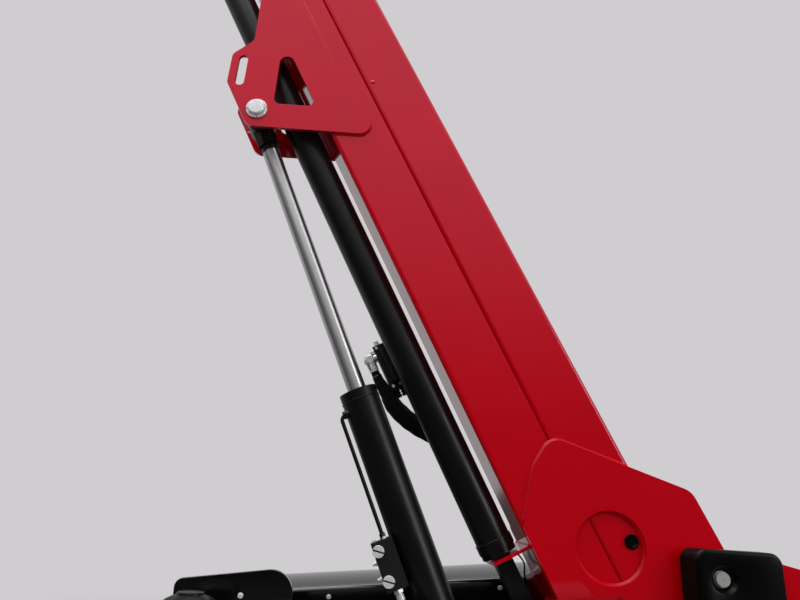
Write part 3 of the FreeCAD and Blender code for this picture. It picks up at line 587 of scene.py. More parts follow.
def counterweight():  # its bolts stand in cast pockets
    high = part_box("tail_weight")[1] / mm
    radius, depth, lip, edge = weight["pocket"], weight["depth"], weight["lip"], weight["edge"]
    spots = [((high.x - depth, y, high.z * weight["height"]), (1, 0, 0)) for y in weight["across"]]
    drill = bmesh.new()
    for y in weight["across"]:
        lathe(drill, [(0, -depth), (radius - edge, -depth), (radius, edge - depth), (radius, -lip),
                      (radius + lip, 0), (radius + lip, weight["over"]), (0, weight["over"])],
              (high.x, y, high.z * weight["height"]), (1, 0, 0), 40)
    bmesh.ops.recalc_face_normals(drill, faces=drill.faces)
    blank = bmesh.new()
    blank.from_mesh(nodes["tail_weight"].data)
    blank.transform(onTurret.inverted())
    bmesh.ops.remove_doubles(blank, verts=blank.verts, dist=0.001)
    shapes = [addObject(name, meshOf(name, bm)) for name, bm in (("blank", blank), ("drill", drill))]
    pockets = shapes[0].modifiers.new("pockets", "BOOLEAN")
    pockets.object, pockets.operation, pockets.solver = shapes[1], "DIFFERENCE", "EXACT"
    bm = bmesh.new()
    bm.from_mesh(evaluatedMesh(shapes[0]))
    for shape in shapes:
        bpy.data.objects.remove(shape)
    block = finishPiece("counterweight", "turret", bm, onTurret, "black_casting")
    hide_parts("tail_weight")
    scatterHeads("weightBolts", "turret", onTurret, spots, hexWithWasher, weight["bolt"], "zinc_steel")


coverScrews = {"size": 6.5, "inner": 116, "far": ((-454, 696), (-8, 731), (300, 755)), "near": (-640, 722),
               "outer": 390, "low": 130, "lowX": (-640, -300, 60)}


def setCoverScrews():
    inner, outer, (x, z) = coverScrews["inner"], coverScrews["outer"], coverScrews["near"]
    spots = [((farX, inner, farZ), (0, -1, 0)) for farX, farZ in coverScrews["far"]]
    spots.append(((x, -inner, z), (0, -1, 0)))
    for x in coverScrews["lowX"]:
        for side in (1, -1):
            spots.append(((x, side * outer, coverScrews["low"]), (0, side, 0)))
    scatterHeads("coverScrews", "turret", onTurret, spots, panHead, coverScrews["size"], "zinc_steel")


setRingBolts()
setPadBolts()
counterweight()
setCoverScrews()
for spare in (hexWithWasher, panHead):
    bpy.data.objects.remove(spare)
print("fasteners set")


# Weld beads: the plate's own outline, where it lies on the other plate, becomes a rippled bead

weld = {"radius": 5.6, "tab": 3.0, "boss": 3.5, "cheek": 5.0, "head": 4.0, "pitch": 4.6, "ripple": 0.06,
        "step": 8.0, "sides": 4, "sharp": 0.9}


def weldTree():
    tree, given = startTree("weldBead", {
        "Radius": "Float", "Pitch": "Float", "Ripple": "Float", "Material": "Material"})
    line = addNode(tree, "GeometryNodeMeshToCurve", {"Mesh": given["Geometry"]})
    third = addNode(tree, "ShaderNodeMath", {0: given["Pitch"], 1: 3.0}, operation="DIVIDE")
    fine = addNode(tree, "GeometryNodeResampleCurve", {
        "Curve": line.outputs["Curve"], "Length": third.outputs[0]}, mode="LENGTH")
    along = addNode(tree, "GeometryNodeSplineParameter")
    phase = addNode(tree, "ShaderNodeMath", {
        0: along.outputs["Length"], 1: given["Pitch"]}, operation="DIVIDE")
    angle = addNode(tree, "ShaderNodeMath", {0: phase.outputs[0], 1: 2 * math.pi}, operation="MULTIPLY")
    wave = addNode(tree, "ShaderNodeMath", {0: angle.outputs[0]}, operation="SINE")
    swell = addNode(tree, "ShaderNodeMath", {
        0: wave.outputs[0], 1: given["Ripple"], 2: 1.0}, operation="MULTIPLY_ADD")
    shaped = addNode(tree, "GeometryNodeSetCurveRadius", {
        "Curve": fine.outputs["Curve"], "Radius": swell.outputs[0]})
    ring = addNode(tree, "GeometryNodeCurvePrimitiveCircle", {
        "Resolution": weld["sides"], "Radius": given["Radius"]})
    bead = addNode(tree, "GeometryNodeCurveToMesh", {
        "Curve": shaped.outputs["Curve"], "Profile Curve": ring.outputs["Curve"], "Scale": swell.outputs[0],
        "Fill Caps": True})
    solid = addNode(tree, "GeometryNodeRealizeInstances", {"Geometry": bead.outputs["Mesh"]})
    painted = addNode(tree, "GeometryNodeSetMaterial", {
        "Geometry": solid.outputs["Geometry"], "Material": given["Material"]})
    addNode(tree, "NodeGroupOutput", {"Geometry": painted.outputs["Geometry"]})
    return tree


def outlineOn(node, place, plane, level, keep=lambda end: True):  # sharp edges of a node on a plane
    bm = bmesh.new()
    bm.from_mesh(nodes[node].data)
    bmesh.ops.transform(bm, matrix=place.inverted(), verts=bm.verts)
    bmesh.ops.remove_doubles(bm, verts=bm.verts, dist=0.01)
    pairs = []
    for edge in bm.edges:
        if len(edge.link_faces) == 2 and edge.calc_face_angle() > weld["sharp"]:
            start, end = [v.co.copy() for v in edge.verts]
            if max(abs(start[plane] - level), abs(end[plane] - level)) > 0.05:
                continue
            count = max(1, round((end - start).length / weld["step"]))
            spots = [start.lerp(end, k / count) for k in range(count + 1)]
            pairs += [pair for pair in zip(spots, spots[1:]) if keep(pair[0]) and keep(pair[1])]
    bm.free()
    return pairs


def weldBeads(name, body, place, edges, radius):
    mesh = bpy.data.meshes.new(name)
    corners, links, known = [], [], {}
    for ends in edges:
        pair = []
        for end in ends:
            key = tuple(round(c, 1) for c in end)
            if key not in known:
                known[key] = len(corners)
                corners.append(tuple(place @ end))
            pair.append(known[key])
        links.append(pair)
    mesh.from_pydata(corners, links, [])
    values = {"Radius": radius * mm, "Pitch": weld["pitch"] * mm, "Ripple": weld["ripple"],
              "Material": finishes["weld_paint"]}
    return runTree(name, body, addObject(name, mesh), beads, values, "weld_paint", 60)


section = {"top": -39, "bottom": -355, "half": 75, "plate": 85, "collar": 2860}  # boom box, in its frame
weldLimits = {"above": 9, "below": 4, "foot": 30, "boss": 45, "head": 3060, "headSide": 55,
              "headRows": (-336, -58)}


def boomWelds():
    top, bottom, half = section["top"], section["bottom"], section["half"]
    low, high = bottom + weldLimits["above"], top - weldLimits["below"]
    edges = []
    for side, level in (("near", half), ("far", -half)):
        for node in ("foot_plate_" + side, "cylinder_bracket_" + side):
            edges += outlineOn(node, onBoom, 1, level, lambda end: (
                low < end.z < high and end.x > weldLimits["foot"]))
    edges += outlineOn("boom_collar", onBoom, 0, section["collar"], lambda end: (
        abs(end.y) < half + 1 and bottom - 1 < end.z < top + 1))
    weldBeads("boomWelds", "boom", onBoom, edges, weld["radius"])
    edges = [pair for node in ("extension_tab", "extension_lugs")
             for pair in outlineOn(node, onBoom, 2, bottom)]
    weldBeads("tabWelds", "boom", onBoom, edges, weld["tab"])


def footWelds():  # the boss tube is welded round, outside both plates
    edges = []
    for side, level in (("near", section["plate"]), ("far", -section["plate"])):
        edges += outlineOn("foot_plate_" + side, onBoom, 1, level, lambda end: (
            Vector((end.x, 0, end.z)).length < weldLimits["boss"]))
    weldBeads("footWelds", "boom", onBoom, edges, weld["boss"])


def turretWelds():
    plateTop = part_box("turret_plate")[1].z / mm
    edges = [pair for node in ("turret_cheek_near", "turret_cheek_far", "cheek_web")
             for pair in outlineOn(node, onTurret, 2, plateTop)]
    weldBeads("turretWelds", "turret", onTurret, edges, weld["cheek"])


def headWelds():
    low, high = weldLimits["headRows"]
    edges = outlineOn("boom_inner_section", onBoom, 0, weldLimits["head"], lambda end: (
        abs(end.y) > weldLimits["headSide"] or end.z < low or end.z > high))
    weldBeads("headWelds", "boom_extension", onBoom, edges, weld["head"])


beads = weldTree()
boomWelds()
footWelds()
turretWelds()
headWelds()
print("welds laid")


# Pins, glands and fittings

pinHead = {"pin": 20, "inside": 43, "ring": 30.5, "ringHeight": 8, "head": 24.4, "headHeight": 18,
           "notches": 4, "notchDepth": 3.6, "notchWidth": 7.0, "notchPhase": 0.35}


def pinHeads():
    ring, height, top = pinHead["ring"], pinHead["ringHeight"], pinHead["headHeight"]
    pin, head = pinHead["pin"], pinHead["head"]
    base = pinHead["inside"] - section["plate"]
    half = pinHead["notchWidth"] / ring / 2
    step = 2 * math.pi / pinHead["notches"]

    def notched(radius, level, turn):
        offset = (turn + pinHead["notchPhase"]) % step
        inNotch = min(offset, step - offset) < half
        return min(radius, ring - pinHead["notchDepth"]) if inNotch and level > 0.5 else radius

    shapes = []
    for side in (1, -1):
        start = (rodPin["s"], side * section["plate"], rodPin["n"])
        shapes.append(([
            (0, base), (pin - 1, base), (pin, base + 1), (pin, 0.01), (head - 1.2, 0.02),
            (head - 1.2, height + 0.6), (head, height + 1.4), (head, top - 4.0), (head - 0.3, top - 3.4),
            (head - 3.0, top - 0.7), (head - 3.8, top - 0.1), (head - 5, top), (2.2, top),
            (1.6, top - 0.9), (0, top - 1.2)], start, (0, side, 0), 64))
        shapes.append(([
            (head - 0.9, 0), (ring - 0.8, 0), (ring, 0.9), (ring, height - 1.6), (ring - 1.6, height),
            (head + 1.9, height), (head + 1.1, height - 2.4), (head - 0.9, height - 3.0)],
            start, (0, side, 0), 120, notched, True))
    pins = turnedPiece("rodPinHeads", "boom", onBoom, "zinc_steel", shapes, sharp=25)
    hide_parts("bracket_pins")


footPinEnd = {"radius": 16.6, "start": 139, "end": 149}


def footPinEnds():
    radius, start = footPinEnd["radius"], footPinEnd["start"]
    depth = footPinEnd["end"] - start
    x, z = footPivot.x / mm, footPivot.z / mm
    profile = [(0, 0), (radius, 0), (radius, depth - 0.8), (radius - 0.8, depth), (1.8, depth),
               (1.4, depth - 1.5), (0, depth - 2.2)]
    turnedPiece("footPinEnds", "turret", onTurret, "turned_steel", [
        (profile, (x, side * -start, z), (0, -side, 0), 56) for side in (1, -1)])


nipples = {  # body, frame, foot and direction of each grease nipple
    "rodEyeNipple": ("lift_rod", onLift, (liftLength - 14, 0, -30), (0.35, 0, -1)),
    "baseEyeNipple": ("lift_cylinder", onLift, (0, 30, -49.5), (0, 0, -1)),
    "footNipple": ("boom", onBoom, (-37.5, 60, 0), (-1, 0, 0))}


def greaseNipples():
    for name, (body, place, origin, axis) in nipples.items():
        axis = Vector(axis).normalized()
        bm = bmesh.new()
        hexHead(bm, origin, axis, 9, 4.5)
        lathe(bm, [(0, 4), (3.2, 4), (3.2, 7), (1.9, 9), (1.9, 10.5), (3.0, 12.5), (2.4, 15), (0.8, 16),
                   (0, 16)], origin, axis, 20)
        finishPiece(name, body, bm, place, "zinc_steel")


glands = {
    "lift": {"body": "lift_cylinder", "frame": onLift, "top": 1045, "n": 0, "rod": 25},
    "extension": {"body": "boom", "frame": onBoom, "top": 2620, "n": -421, "rod": 22.5}}


def wiperRings():
    for name, gland in glands.items():
        rod = gland["rod"]
        profile = [(rod + 0.2, -0.5), (rod + 8, -0.5), (rod + 8, 1.2), (rod + 6.8, 2.2), (rod + 3, 2.6),
                   (rod + 0.2, 5.0)]
        turnedPiece(name + "Wiper", gland["body"], gland["frame"], "black_moulding", [
            ringShape(profile, (gland["top"], 0, gland["n"]), (1, 0, 0), 64)])


bands = {"extensionAt": ((258, 26), (2556, 3)), "inner": 43.9, "outer": 47, "edge": 0.8,
         "glandBelow": 26.5, "baseBead": 70}


def barrelBands():
    inner, outer, edge = bands["inner"], bands["outer"], bands["edge"]
    turnedPiece("extensionBands", "boom", onBoom, "black_paint", [
        ringShape([(inner, 0), (outer - edge, 0), (outer, edge), (outer, length - edge),
                   (outer - edge, length), (inner, length)],
                  (start, 0, glands["extension"]["n"]), (1, 0, 0), 72)
        for start, length in bands["extensionAt"]])
    turnedPiece("liftBands", "lift_cylinder", onLift, "black_paint", [
        ringShape([(49.6, 0), (50.7, 0.4), (51.2, 1.4), (50.7, 2.4), (49.6, 2.8)],
                  (glands["lift"]["top"] - bands["glandBelow"], 0, 0), (1, 0, 0), 72),
        ringShape([(49.6, 0), (52, 1), (53.5, 4), (52.5, 8), (49.6, 9)],
                  (bands["baseBead"], 0, 0), (1, 0, 0), 72)])


valve = {"near": 55, "front": -98, "plugRadius": 14.5, "slot": 4.2, "plugs": (1244, 1316), "plugZ": -86,
         "plugTop": 4.4, "slotTurn": 0.62, "arcSteps": 24, "adjusters": (1268, 1305), "adjusterY": 42,
         "screws": ((14, -88), (46, -62)), "top": 1222, "screw": 5.0, "port": (1340, 34, -72),
         "pipe": (20, -64)}


def slottedPlug(bm, down):  # a round plug in two halves, with the screwdriver slot between them
    place = Vector((liftLength - down, valve["near"], valve["plugZ"]))
    top, radius, steps = valve["plugTop"], valve["plugRadius"], valve["arcSteps"]
    reach = math.acos(valve["slot"] / 2 / radius)
    for facing in (valve["slotTurn"], valve["slotTurn"] + math.pi):
        rings = []
        for level, inset in ((-1.0, 0), (top - 0.7, 0), (top, 0.7)):
            rim = radius - inset
            turns = [facing + reach * (2 * k / steps - 1) for k in range(steps + 1)]
            rings.append([bm.verts.new(place + Vector((rim * math.cos(turn), level, rim * math.sin(turn))))
                          for turn in turns])
        joinRings(bm, rings)
        bm.faces.new(rings[0])
        bm.faces.new(rings[-1])


def valveFittings():
    bm = bmesh.new()
    for down in valve["plugs"]:
        slottedPlug(bm, down)
    for down in valve["adjusters"]:
        lathe(bm, [(0, 0), (5.5, 0), (5.5, 5), (4, 6), (4, 10), (3.2, 11.5), (0, 11.5)],
              (liftLength - down, valve["adjusterY"], valve["front"]), (0, 0, -1), 20)
    top = liftLength - valve["top"]
    for y, z in valve["screws"]:
        socketHead(bm, (top, y, z), (1, 0, 0), valve["screw"], valve["screw"])
    down, y, z = valve["port"]
    hexHead(bm, (liftLength - down, y, z), (-1, 0, 0), 22, 10)
    lathe(bm, [(0, 9), (9, 9), (9, 16), (10, 17), (10, 27), (8, 29), (0, 29)],
          (liftLength - down, y, z), (-1, 0, 0), 28)
    finishPiece("valveFittings", "lift_cylinder", bm, onLift, "zinc_steel")
    turnedPiece("pipeFittings", "lift_cylinder", onLift, "black_paint", [
        ([(0, 0), (8.5, 0), (8.5, 12), (7, 13), (0, 13)], (top, *valve["pipe"]), (1, 0, 0), 6)])


pinHeads()
footPinEnds()
greaseNipples()
wiperRings()
barrelBands()
valveFittings()
print("pins and fittings made")


# Moulded caps over the ends of the foot pin

housing = {
    "front": 80, "rear": 142, "top": 66, "rearTop": 60, "bottom": 190, "corner": 20, "topCorner": 29,
    "inside": 110, "outside": 156, "round": 8, "arcSteps": 10, "sideSteps": 14, "roundSteps": 7,
    "lean": 20, "lip": 34, "mouth": 31, "mouthDepth": 2, "chamfer": 0.8, "chamferDepth": 0.6, "hole": 18.6,
    "floor": 140.6, "floorBack": 140.25, "sleeve": 26}


def roundedLoop(corners, inset, steps, sideSteps=1):  # outline of (x, z, radius) corners, drawn in by inset
    loop = []
    for k, (x, z, radius) in enumerate(corners):
        corner = Vector((x, z))
        back = (Vector(corners[k - 1][:2]) - corner).normalized()
        ahead = (Vector(corners[(k + 1) % len(corners)][:2]) - corner).normalized()
        half = back.angle(ahead) / 2
        centre = corner + (back + ahead).normalized() * (radius / math.sin(half))
        first = corner + back * (radius / math.tan(half)) - centre
        last = corner + ahead * (radius / math.tan(half)) - centre
        for step in range(steps + 1):
            towards = first.lerp(last, step / steps).normalized()
            loop.append(centre + towards * (radius - inset))
    sides = []
    for k, point in enumerate(loop):
        sides.append(point)
        if k % (steps + 1) == steps:
            following = loop[(k + 1) % len(loop)]
            sides += [point.lerp(following, step / sideSteps) for step in range(1, sideSteps)]
    return sides


def pivotCap(name, node, side):
    x, z = footPivot.x / mm, footPivot.z / mm
    corners = [
        (x - housing["front"], z - housing["bottom"], housing["corner"]),
        (x - housing["front"], z + housing["top"], housing["topCorner"]),
        (x + housing["rear"], z + housing["rearTop"], housing["topCorner"]),
        (x + housing["rear"], z - housing["bottom"], housing["corner"])]
    bm = bmesh.new()
    rings = []

    def outline(inset, y):  # the front wall leans back towards the face
        loop = roundedLoop(corners, inset, housing["arcSteps"], housing["sideSteps"])
        lean = housing["lean"] * (y - housing["inside"]) / (housing["outside"] - housing["inside"])
        reach = housing["front"] + housing["rear"]
        rings.append([bm.verts.new((
            p.x + lean * (x + housing["rear"] - p.x) / reach, side * y, p.y)) for p in loop])

    def circle(radius, y):
        towards = [Vector((v.co.x - x, v.co.z - z)).normalized() for v in rings[0]]
        rings.append([bm.verts.new((x + radius * t.x, side * y, z + radius * t.y)) for t in towards])

    outline(0, housing["inside"])
    for step in range(housing["roundSteps"] + 1):
        turn = math.pi / 2 * step / housing["roundSteps"]
        outline(housing["round"] * (1 - math.cos(turn)),
                housing["outside"] - housing["round"] * (1 - math.sin(turn)))
    circle(housing["lip"], housing["outside"])
    circle(housing["mouth"] + housing["chamfer"], housing["outside"] - housing["chamferDepth"])
    circle(housing["mouth"], housing["outside"] - housing["mouthDepth"])
    circle(housing["hole"], housing["floor"])
    circle(housing["hole"], housing["floorBack"])
    circle(housing["sleeve"], housing["floorBack"])
    circle(housing["sleeve"], housing["inside"])
    joinRings(bm, rings, closed=True)
    piece = finishPiece(name, "turret", bm, onTurret, "soft_moulding", sharp=30)
    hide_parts(node)


pivotCap("pivotCapNear", "pivot_housing_near", -1)
pivotCap("pivotCapFar", "pivot_housing_far", 1)
print("pivot caps moulded")


# Lobed screw cap of the tank

tankCap = {
    "x": -722, "y": -235, "grip": 42, "neck": 34, "sink": 30, "lobes": 5, "hollow": 10.0,
    "profile": [(46, 0), (55, 1.2), (59, 4.5), (60, 8), (60, 17), (57, 23), (50, 28.5), (40, 33.5),
                (30, 36.5), (28.5, 37.4), (27.6, 40.6), (25.5, 42), (12, 42)]}


def fillerKnob():
    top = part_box("filler_cap")[1].z / mm
    base = top - tankCap["grip"]
    neck, outer = tankCap["neck"], max(radius for radius, height in tankCap["profile"])

    def lobed(radius, height, turn):
        share = max(0.0, (radius - neck) / (outer - neck))
        dip = (1 - math.cos(tankCap["lobes"] * (turn - math.pi / 2))) / 2
        return radius - tankCap["hollow"] * share * dip

    bm = bmesh.new()
    profile = [(0, -tankCap["sink"]), (neck, -tankCap["sink"]), (neck, 0)]
    profile += tankCap["profile"] + [(0, tankCap["grip"])]
    lathe(bm, profile, (tankCap["x"], tankCap["y"], base), (0, 0, 1), 120, lobed)
    knob = finishPiece("fillerKnob", "turret", bm, onTurret, "soft_moulding", sharp=40)
    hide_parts("filler_cap")


fillerKnob()
print("filler cap moulded")


# Hoses and pipes: tubes drawn through points, with a radius at each

def smoothRoute(points, steps):  # Catmull-Rom curve through (x, y, z, radius) points
    spots = [Vector(p) for p in points]
    spots = [2 * spots[0] - spots[1]] + spots + [2 * spots[-1] - spots[-2]]
    route = []
    for k in range(1, len(spots) - 2):
        a, b, c, d = spots[k - 1:k + 3]
        for step in range(steps):
            t = step / steps
            route.append(0.5 * (2 * b + (c - a) * t + (2 * a - 5 * b + 4 * c - d) * t * t
                                + (3 * b - a - 3 * c + d) * t ** 3))
    return route + [spots[-2]]


def tubeAlong(bm, route, sides, swell=None):  # closed tube; swell(k) adds to the radius at route point k
    rings = []
    count = len(route)
    side = None
    for k, point in enumerate(route):
        heading = (route[min(k + 1, count - 1)] - route[max(k - 1, 0)]).to_3d().normalized()
        side = across(heading)[1] if side is None else (side - heading * side.dot(heading)).normalized()
        other = heading.cross(side)
        radius = point[3] + (swell(k) if swell else 0.0)
        turns = [2 * math.pi * n / sides for n in range(sides)]
        rings.append([bm.verts.new(
            point.to_3d() + (side * math.cos(turn) + other * math.sin(turn)) * radius) for turn in turns])
    ends = [[bm.verts.new(route[0].to_3d())], [bm.verts.new(route[-1].to_3d())]]
    joinRings(bm, [ends[0]] + rings + [ends[1]])


sleeve = {
    "sides": 28, "steps": 14, "fold": 0.45, "foldPitch": 9,
    "bands": (((792, -71, -511), 13.2), ((268, -71, -402), 18.2)),
    "route": [
        (810, -71, -511, 10.5), (795, -71, -511, 12), (768, -72, -510, 15.5), (735, -75, -505, 19.5),
        (700, -78, -502, 23.5), (655, -79, -486, 25), (610, -77, -461, 24), (565, -71.5, -432, 20),
        (520, -71, -413, 18), (450, -71, -403, 17.5), (360, -71, -402, 17), (300, -71, -402, 17.5),
        (262, -71, -402, 16.5), (242, -71, -402, 16)]}


def hoseSleeve():
    bm = bmesh.new()
    tubeAlong(bm, smoothRoute(sleeve["route"], sleeve["steps"]), sleeve["sides"],
              lambda k: sleeve["fold"] * math.sin(2 * math.pi * k / sleeve["foldPitch"]))
    piece = finishPiece("hoseSleeve", "boom", bm, onBoom, "hose_textile", sharp=60)
    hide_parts("hose_sleeve")
    turnedPiece("sleeveBands", "boom", onBoom, "black_moulding", [
        ringShape([(radius - 2.5, 0), (radius, 0.4), (radius + 0.5, 2), (radius + 0.5, 7), (radius, 8.6),
                   (radius - 2.5, 9)], place, (-1, 0, 0), 40) for place, radius in sleeve["bands"]])


pipe = {"radius": 5, "y": 20, "z": -64, "start": 1222, "end": 905, "bend": 14, "straight": 40, "nutTop": -50}


def hardLine():
    bm = bmesh.new()
    radius, y, z, bend = pipe["radius"], pipe["y"], pipe["z"], pipe["bend"]
    start, end = liftLength - pipe["start"] - 2, liftLength - pipe["end"]
    corner = end - bend
    route = [Vector((s, y, z, radius)) for s in (start, corner - pipe["straight"])]
    for step in range(9):
        turn = math.pi / 2 * step / 8
        route.append(Vector((corner + bend * math.sin(turn), y, z + bend * (1 - math.cos(turn)), radius)))
    tubeAlong(bm, route, 20)
    lathe(bm, [(0, -10), (10.5, -10), (10.5, 5), (9.5, 7), (7.2, 8), (0, 8)],
          (end, y, pipe["nutTop"]), (0, 0, -1), 28)
    line = finishPiece("steelPipe", "lift_cylinder", bm, onLift, "black_paint")
    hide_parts("hard_line")


hoseSleeve()
hardLine()
print("hoses and pipes laid")


# Valve block beside the extension cylinder: elbow, ferrules, plugs and cap screws

manifold = {"elbow": (840, -71, -511), "gauge": (868, -76, -474), "bleed": (858, -72, -490), "inside": -55,
            "screws": ((744, -461), (744, -482), (860, -482)), "screw": 4.2, "foot": (732, -72),
            "cartridgeRows": (-458, -478), "cartridge": 9.5, "coils": ((766, -89, -468), (824, -89, -468))}


def manifoldFittings():
    s, y, n = manifold["elbow"]
    bm = bmesh.new()
    hexHead(bm, (s, y, n + 21.5), (0, 0, -1), 26, 9)
    lathe(bm, [(0, -15), (10, -15), (14.5, -11), (16.4, -5), (16.6, 0), (16.4, 5), (14.5, 11), (10, 15),
               (0, 15)], (s, y, n), (0, 1, 0), 36)
    hexHead(bm, (s - 12, y, n), (-1, 0, 0), 27, 11)
    lathe(bm, [(0, 0), (13, 0), (13.4, 1), (13.4, 9), (12.2, 11), (12.8, 12.4), (12.2, 14), (0, 14)],
          (s - 22, y, n), (-1, 0, 0), 36)
    hexHead(bm, manifold["gauge"], (1, 0, 0), 17, 6)
    lathe(bm, [(0, 5), (7.2, 5), (7.2, 14), (6.2, 15.4), (0, 15.4)], manifold["gauge"], (1, 0, 0), 24)
    hexHead(bm, manifold["bleed"], (0, 0, -1), 14, 6)
    lathe(bm, [(0, 5), (5, 5), (5, 10), (3.4, 12), (0, 12)], manifold["bleed"], (0, 0, -1), 20)
    for along, away in manifold["screws"]:
        socketHead(bm, (along, manifold["inside"], away), (0, 1, 0), manifold["screw"], manifold["screw"])
    finishPiece("manifoldFittings", "boom", bm, onBoom, "zinc_steel")
    radius = manifold["cartridge"]
    profile = [(0, 0), (radius, 0), (radius, 4), (radius - 1.6, 4.6), (radius - 1.6, 6.4), (radius, 7),
               (radius, 11), (radius - 1.6, 11.6), (radius - 1.6, 13.4), (radius, 14), (radius, 20),
               (radius - 1.5, 22), (0, 22)]
    shapes = [(profile, (*manifold["foot"], away), (-1, 0, 0), 32) for away in manifold["cartridgeRows"]]
    shapes += [([(0, 0), (11, 0), (11, 16), (9, 18), (4, 18), (4, 24), (0, 24)], place, (0, -1, 0), 32)
               for place in manifold["coils"]]
    turnedPiece("manifoldCartridges", "boom", onBoom, "black_anodised", shapes)


manifoldFittings()
print("manifold fitted")


# Small hydraulics below the tab, in the shade of the boom

neckLine = {"radius": 2.2, "steps": 8, "sides": 10, "nut": (160, -48, -370), "route": [
    (238, -64, -379), (215, -60, -369), (190, -55, -366), (165, -46, -380), (130, -36, -392),
    (100, -34, -400)]}


def neckHose():
    bm = bmesh.new()
    route = [(*point, neckLine["radius"]) for point in neckLine["route"]]
    tubeAlong(bm, smoothRoute(route, neckLine["steps"]), neckLine["sides"])
    finishPiece("neckHose", "boom", bm, onBoom, "hose_textile", sharp=60)
    bm = bmesh.new()
    hexHead(bm, neckLine["nut"], (0, 0, 1), 13, 8)
    lathe(bm, [(0, 7), (5, 7), (5, 15.5), (0, 15.5)], neckLine["nut"], (0, 0, 1), 20)
    lathe(bm, [(0, -7), (4.6, -7), (5.4, -6), (5.4, 0.5), (0, 0.5)], neckLine["nut"], (0, 0, 1), 20)
    finishPiece("neckFitting", "boom", bm, onBoom, "zinc_steel")


neckHose()
print("neck hose laid")


# Ends of pins, bushes and seals

clip = {"wire": 1.6, "pin": 12, "deep": 0.6, "proud": 2.6, "n": -421}
clipsAt = {"basePinClips": ("boom", 62, 42.5), "rodPinClips": ("boom_extension", 3110, 31.0)}


def pinKeepers():
    inner, outer = clip["pin"] - clip["deep"], clip["pin"] + clip["proud"]
    ring = [(inner, 0), (outer, 0), (outer, clip["wire"]), (inner, clip["wire"])]
    for name, (body, s, level) in clipsAt.items():
        turnedPiece(name, body, onBoom, "zinc_steel", [
            ringShape(ring, (s, side * level, clip["n"]), (0, side, 0), 40) for side in (1, -1)])


bush = {"s": 3190, "n": -120, "pin": 20.2, "outer": 26, "outside": 56.95, "flange": 2.5}


def headBushes():
    pin, outer, flange = bush["pin"], bush["outer"], bush["flange"]
    profile = [(pin, 0), (outer, 0), (outer, flange - 0.6), (outer - 0.6, flange), (pin + 0.8, flange),
               (pin, flange - 0.8)]
    turnedPiece("headBushes", "boom_extension", onBoom, "pad_plastic", [
        ringShape(profile, (bush["s"], side * bush["outside"], bush["n"]), (0, side, 0), 48)
        for side in (1, -1)])


mouth = {"start": 2945.6, "end": 2952.5, "outerHalf": 69.5, "outerTop": -44.5, "outerBottom": -349.5,
         "innerHalf": 57.6, "innerTop": -52.4, "innerBottom": -341.6, "corner": 10}


def mouthSeal():
    bm = bmesh.new()
    rings = []
    for edge, s in (("outer", "start"), ("outer", "end"), ("inner", "end"), ("inner", "start")):
        half, top, bottom = mouth[edge + "Half"], mouth[edge + "Top"], mouth[edge + "Bottom"]
        corners = [(half, bottom, mouth["corner"]), (half, top, mouth["corner"]),
                   (-half, top, mouth["corner"]), (-half, bottom, mouth["corner"])]
        rings.append([bm.verts.new((mouth[s], p.x, p.y)) for p in roundedLoop(corners, 0, 6)])
    joinRings(bm, rings, closed=True)
    finishPiece("mouthSeal", "boom", bm, onBoom, "black_moulding")


# black band on the rod next to the eye: partly the eye's black paint, partly painted shade under the bracket
# plates
neckBand = {"inner": 24.5, "outer": 25.6, "start": 97, "end": 77}


def rodNeckBand():
    inner, outer, length = neckBand["inner"], neckBand["outer"], neckBand["start"] - neckBand["end"]
    turnedPiece("rodNeckBand", "lift_rod", onLift, "black_paint", [
        ringShape([(inner, 0), (outer, 0.3), (outer, length), (inner, length)],
                  (liftLength - neckBand["start"], 0, 0), (1, 0, 0), 64)])


plug = {"place": (1578, 70.9, -173.5), "radius": 6.5}


def paintedPlug():
    radius = plug["radius"]
    turnedPiece("paintedPlug", "boom", onBoom, "red_paint", [
        ([(0, -0.5), (radius, -0.5), (radius, 0.9), (radius - 1.2, 1.7), (2.4, 2.2), (0, 2.2)],
         plug["place"], (0, 1, 0), 28)])


grommet = {"place": (144, 75, -127), "outer": 17.6, "hole": 15.3}


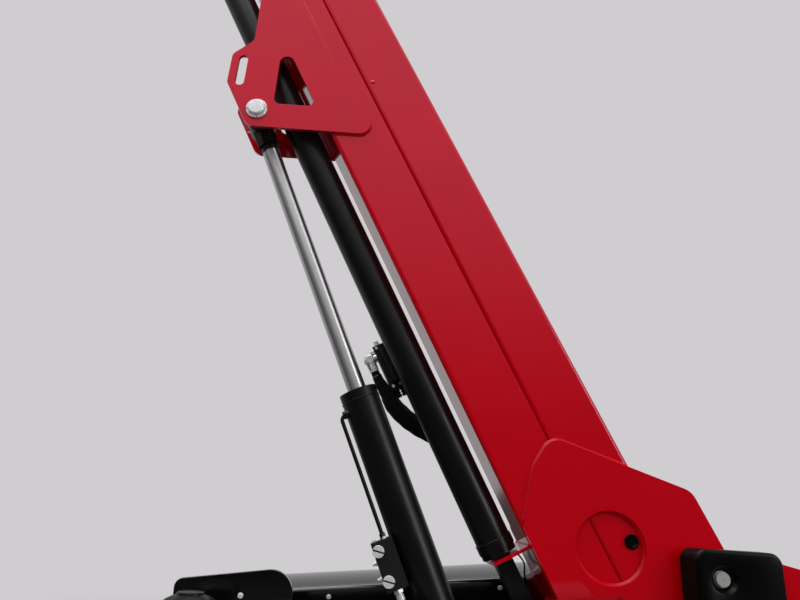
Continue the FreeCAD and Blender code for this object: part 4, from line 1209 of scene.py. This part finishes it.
def blankingGrommet():
    hole, outer = grommet["hole"], grommet["outer"]
    turnedPiece("blankingGrommet", "boom", onBoom, "soft_moulding", [
        ([(0, 0.6), (11, 0.6), (12.5, 2), (outer - 1, 1.8), (outer, 0.8), (outer, 0.05), (hole, 0.05),
          (hole, -5.05), (hole + 1.6, -5.05), (hole + 1, -7), (0, -7)], grommet["place"], (0, 1, 0), 40)])


# section of the dark strip that paints the shade along the seam, in the boom's frame
seamShade = {"start": 26, "end": 2858,
           "section": [(67.1, -198.8), (74.8, -198.8), (74.0, -196.5), (69.6, -190.6), (67.1, -190.0)]}


def seamSealant():  # a dark strip in the corner of the lapped channels: painted shade of the seam's crevice
    bm = bmesh.new()
    for side in (1, -1):
        rings = []
        for s in (seamShade["start"], seamShade["end"]):
            rings.append([bm.verts.new((s, side * y, n)) for y, n in seamShade["section"]])
        joinRings(bm, rings)
        for ring in rings:
            bm.faces.new(ring)
    finishPiece("seamSealant", "boom", bm, onBoom, "painted_seam_shade")


pinKeepers()
headBushes()
mouthSeal()
rodNeckBand()
paintedPlug()
blankingGrommet()
seamSealant()
print("bushes and seals set")


# Cooling ribs of the side covers

ribs = {"length": 210, "height": 7, "proud": 4.5, "pitch": 20, "count": 9, "foot": (60, 389.5, 330),
        "steps": 8, "arc": 12, "taper": 0.72}


def ribHead(bm):
    half, tall, steps, arc = ribs["length"] / 2, ribs["height"] / 2, ribs["steps"], ribs["arc"]
    rings = []
    for step in range(steps + 1):
        x = -half + ribs["length"] * step / steps
        reach = 1.0 if 0 < step < steps else ribs["taper"]
        turns = [math.pi * k / arc for k in range(arc + 1)]
        ring = [bm.verts.new((x, tall * reach * math.cos(turn), ribs["proud"] * reach * math.sin(turn)))
                for turn in turns]
        rings.append(ring + [bm.verts.new((x, -tall * reach, -1)), bm.verts.new((x, tall * reach, -1))])
    ends = [[bm.verts.new((x, 0, 0.5))] for x in (-half - 1.5, half + 1.5)]
    joinRings(bm, [ends[0]] + rings + [ends[1]])


def coolingRibs():
    rib = headSource("rib", ribHead)
    x, y, z = ribs["foot"]
    spots = [((x, y, z + ribs["pitch"] * k), (0, 1, 0)) for k in range(ribs["count"])]
    scatterHeads("coolingRibs", "turret", onTurret, spots, rib, 1.0, "black_moulding", spin=0.0)
    bpy.data.objects.remove(rib)


coolingRibs()
print("cover details set")
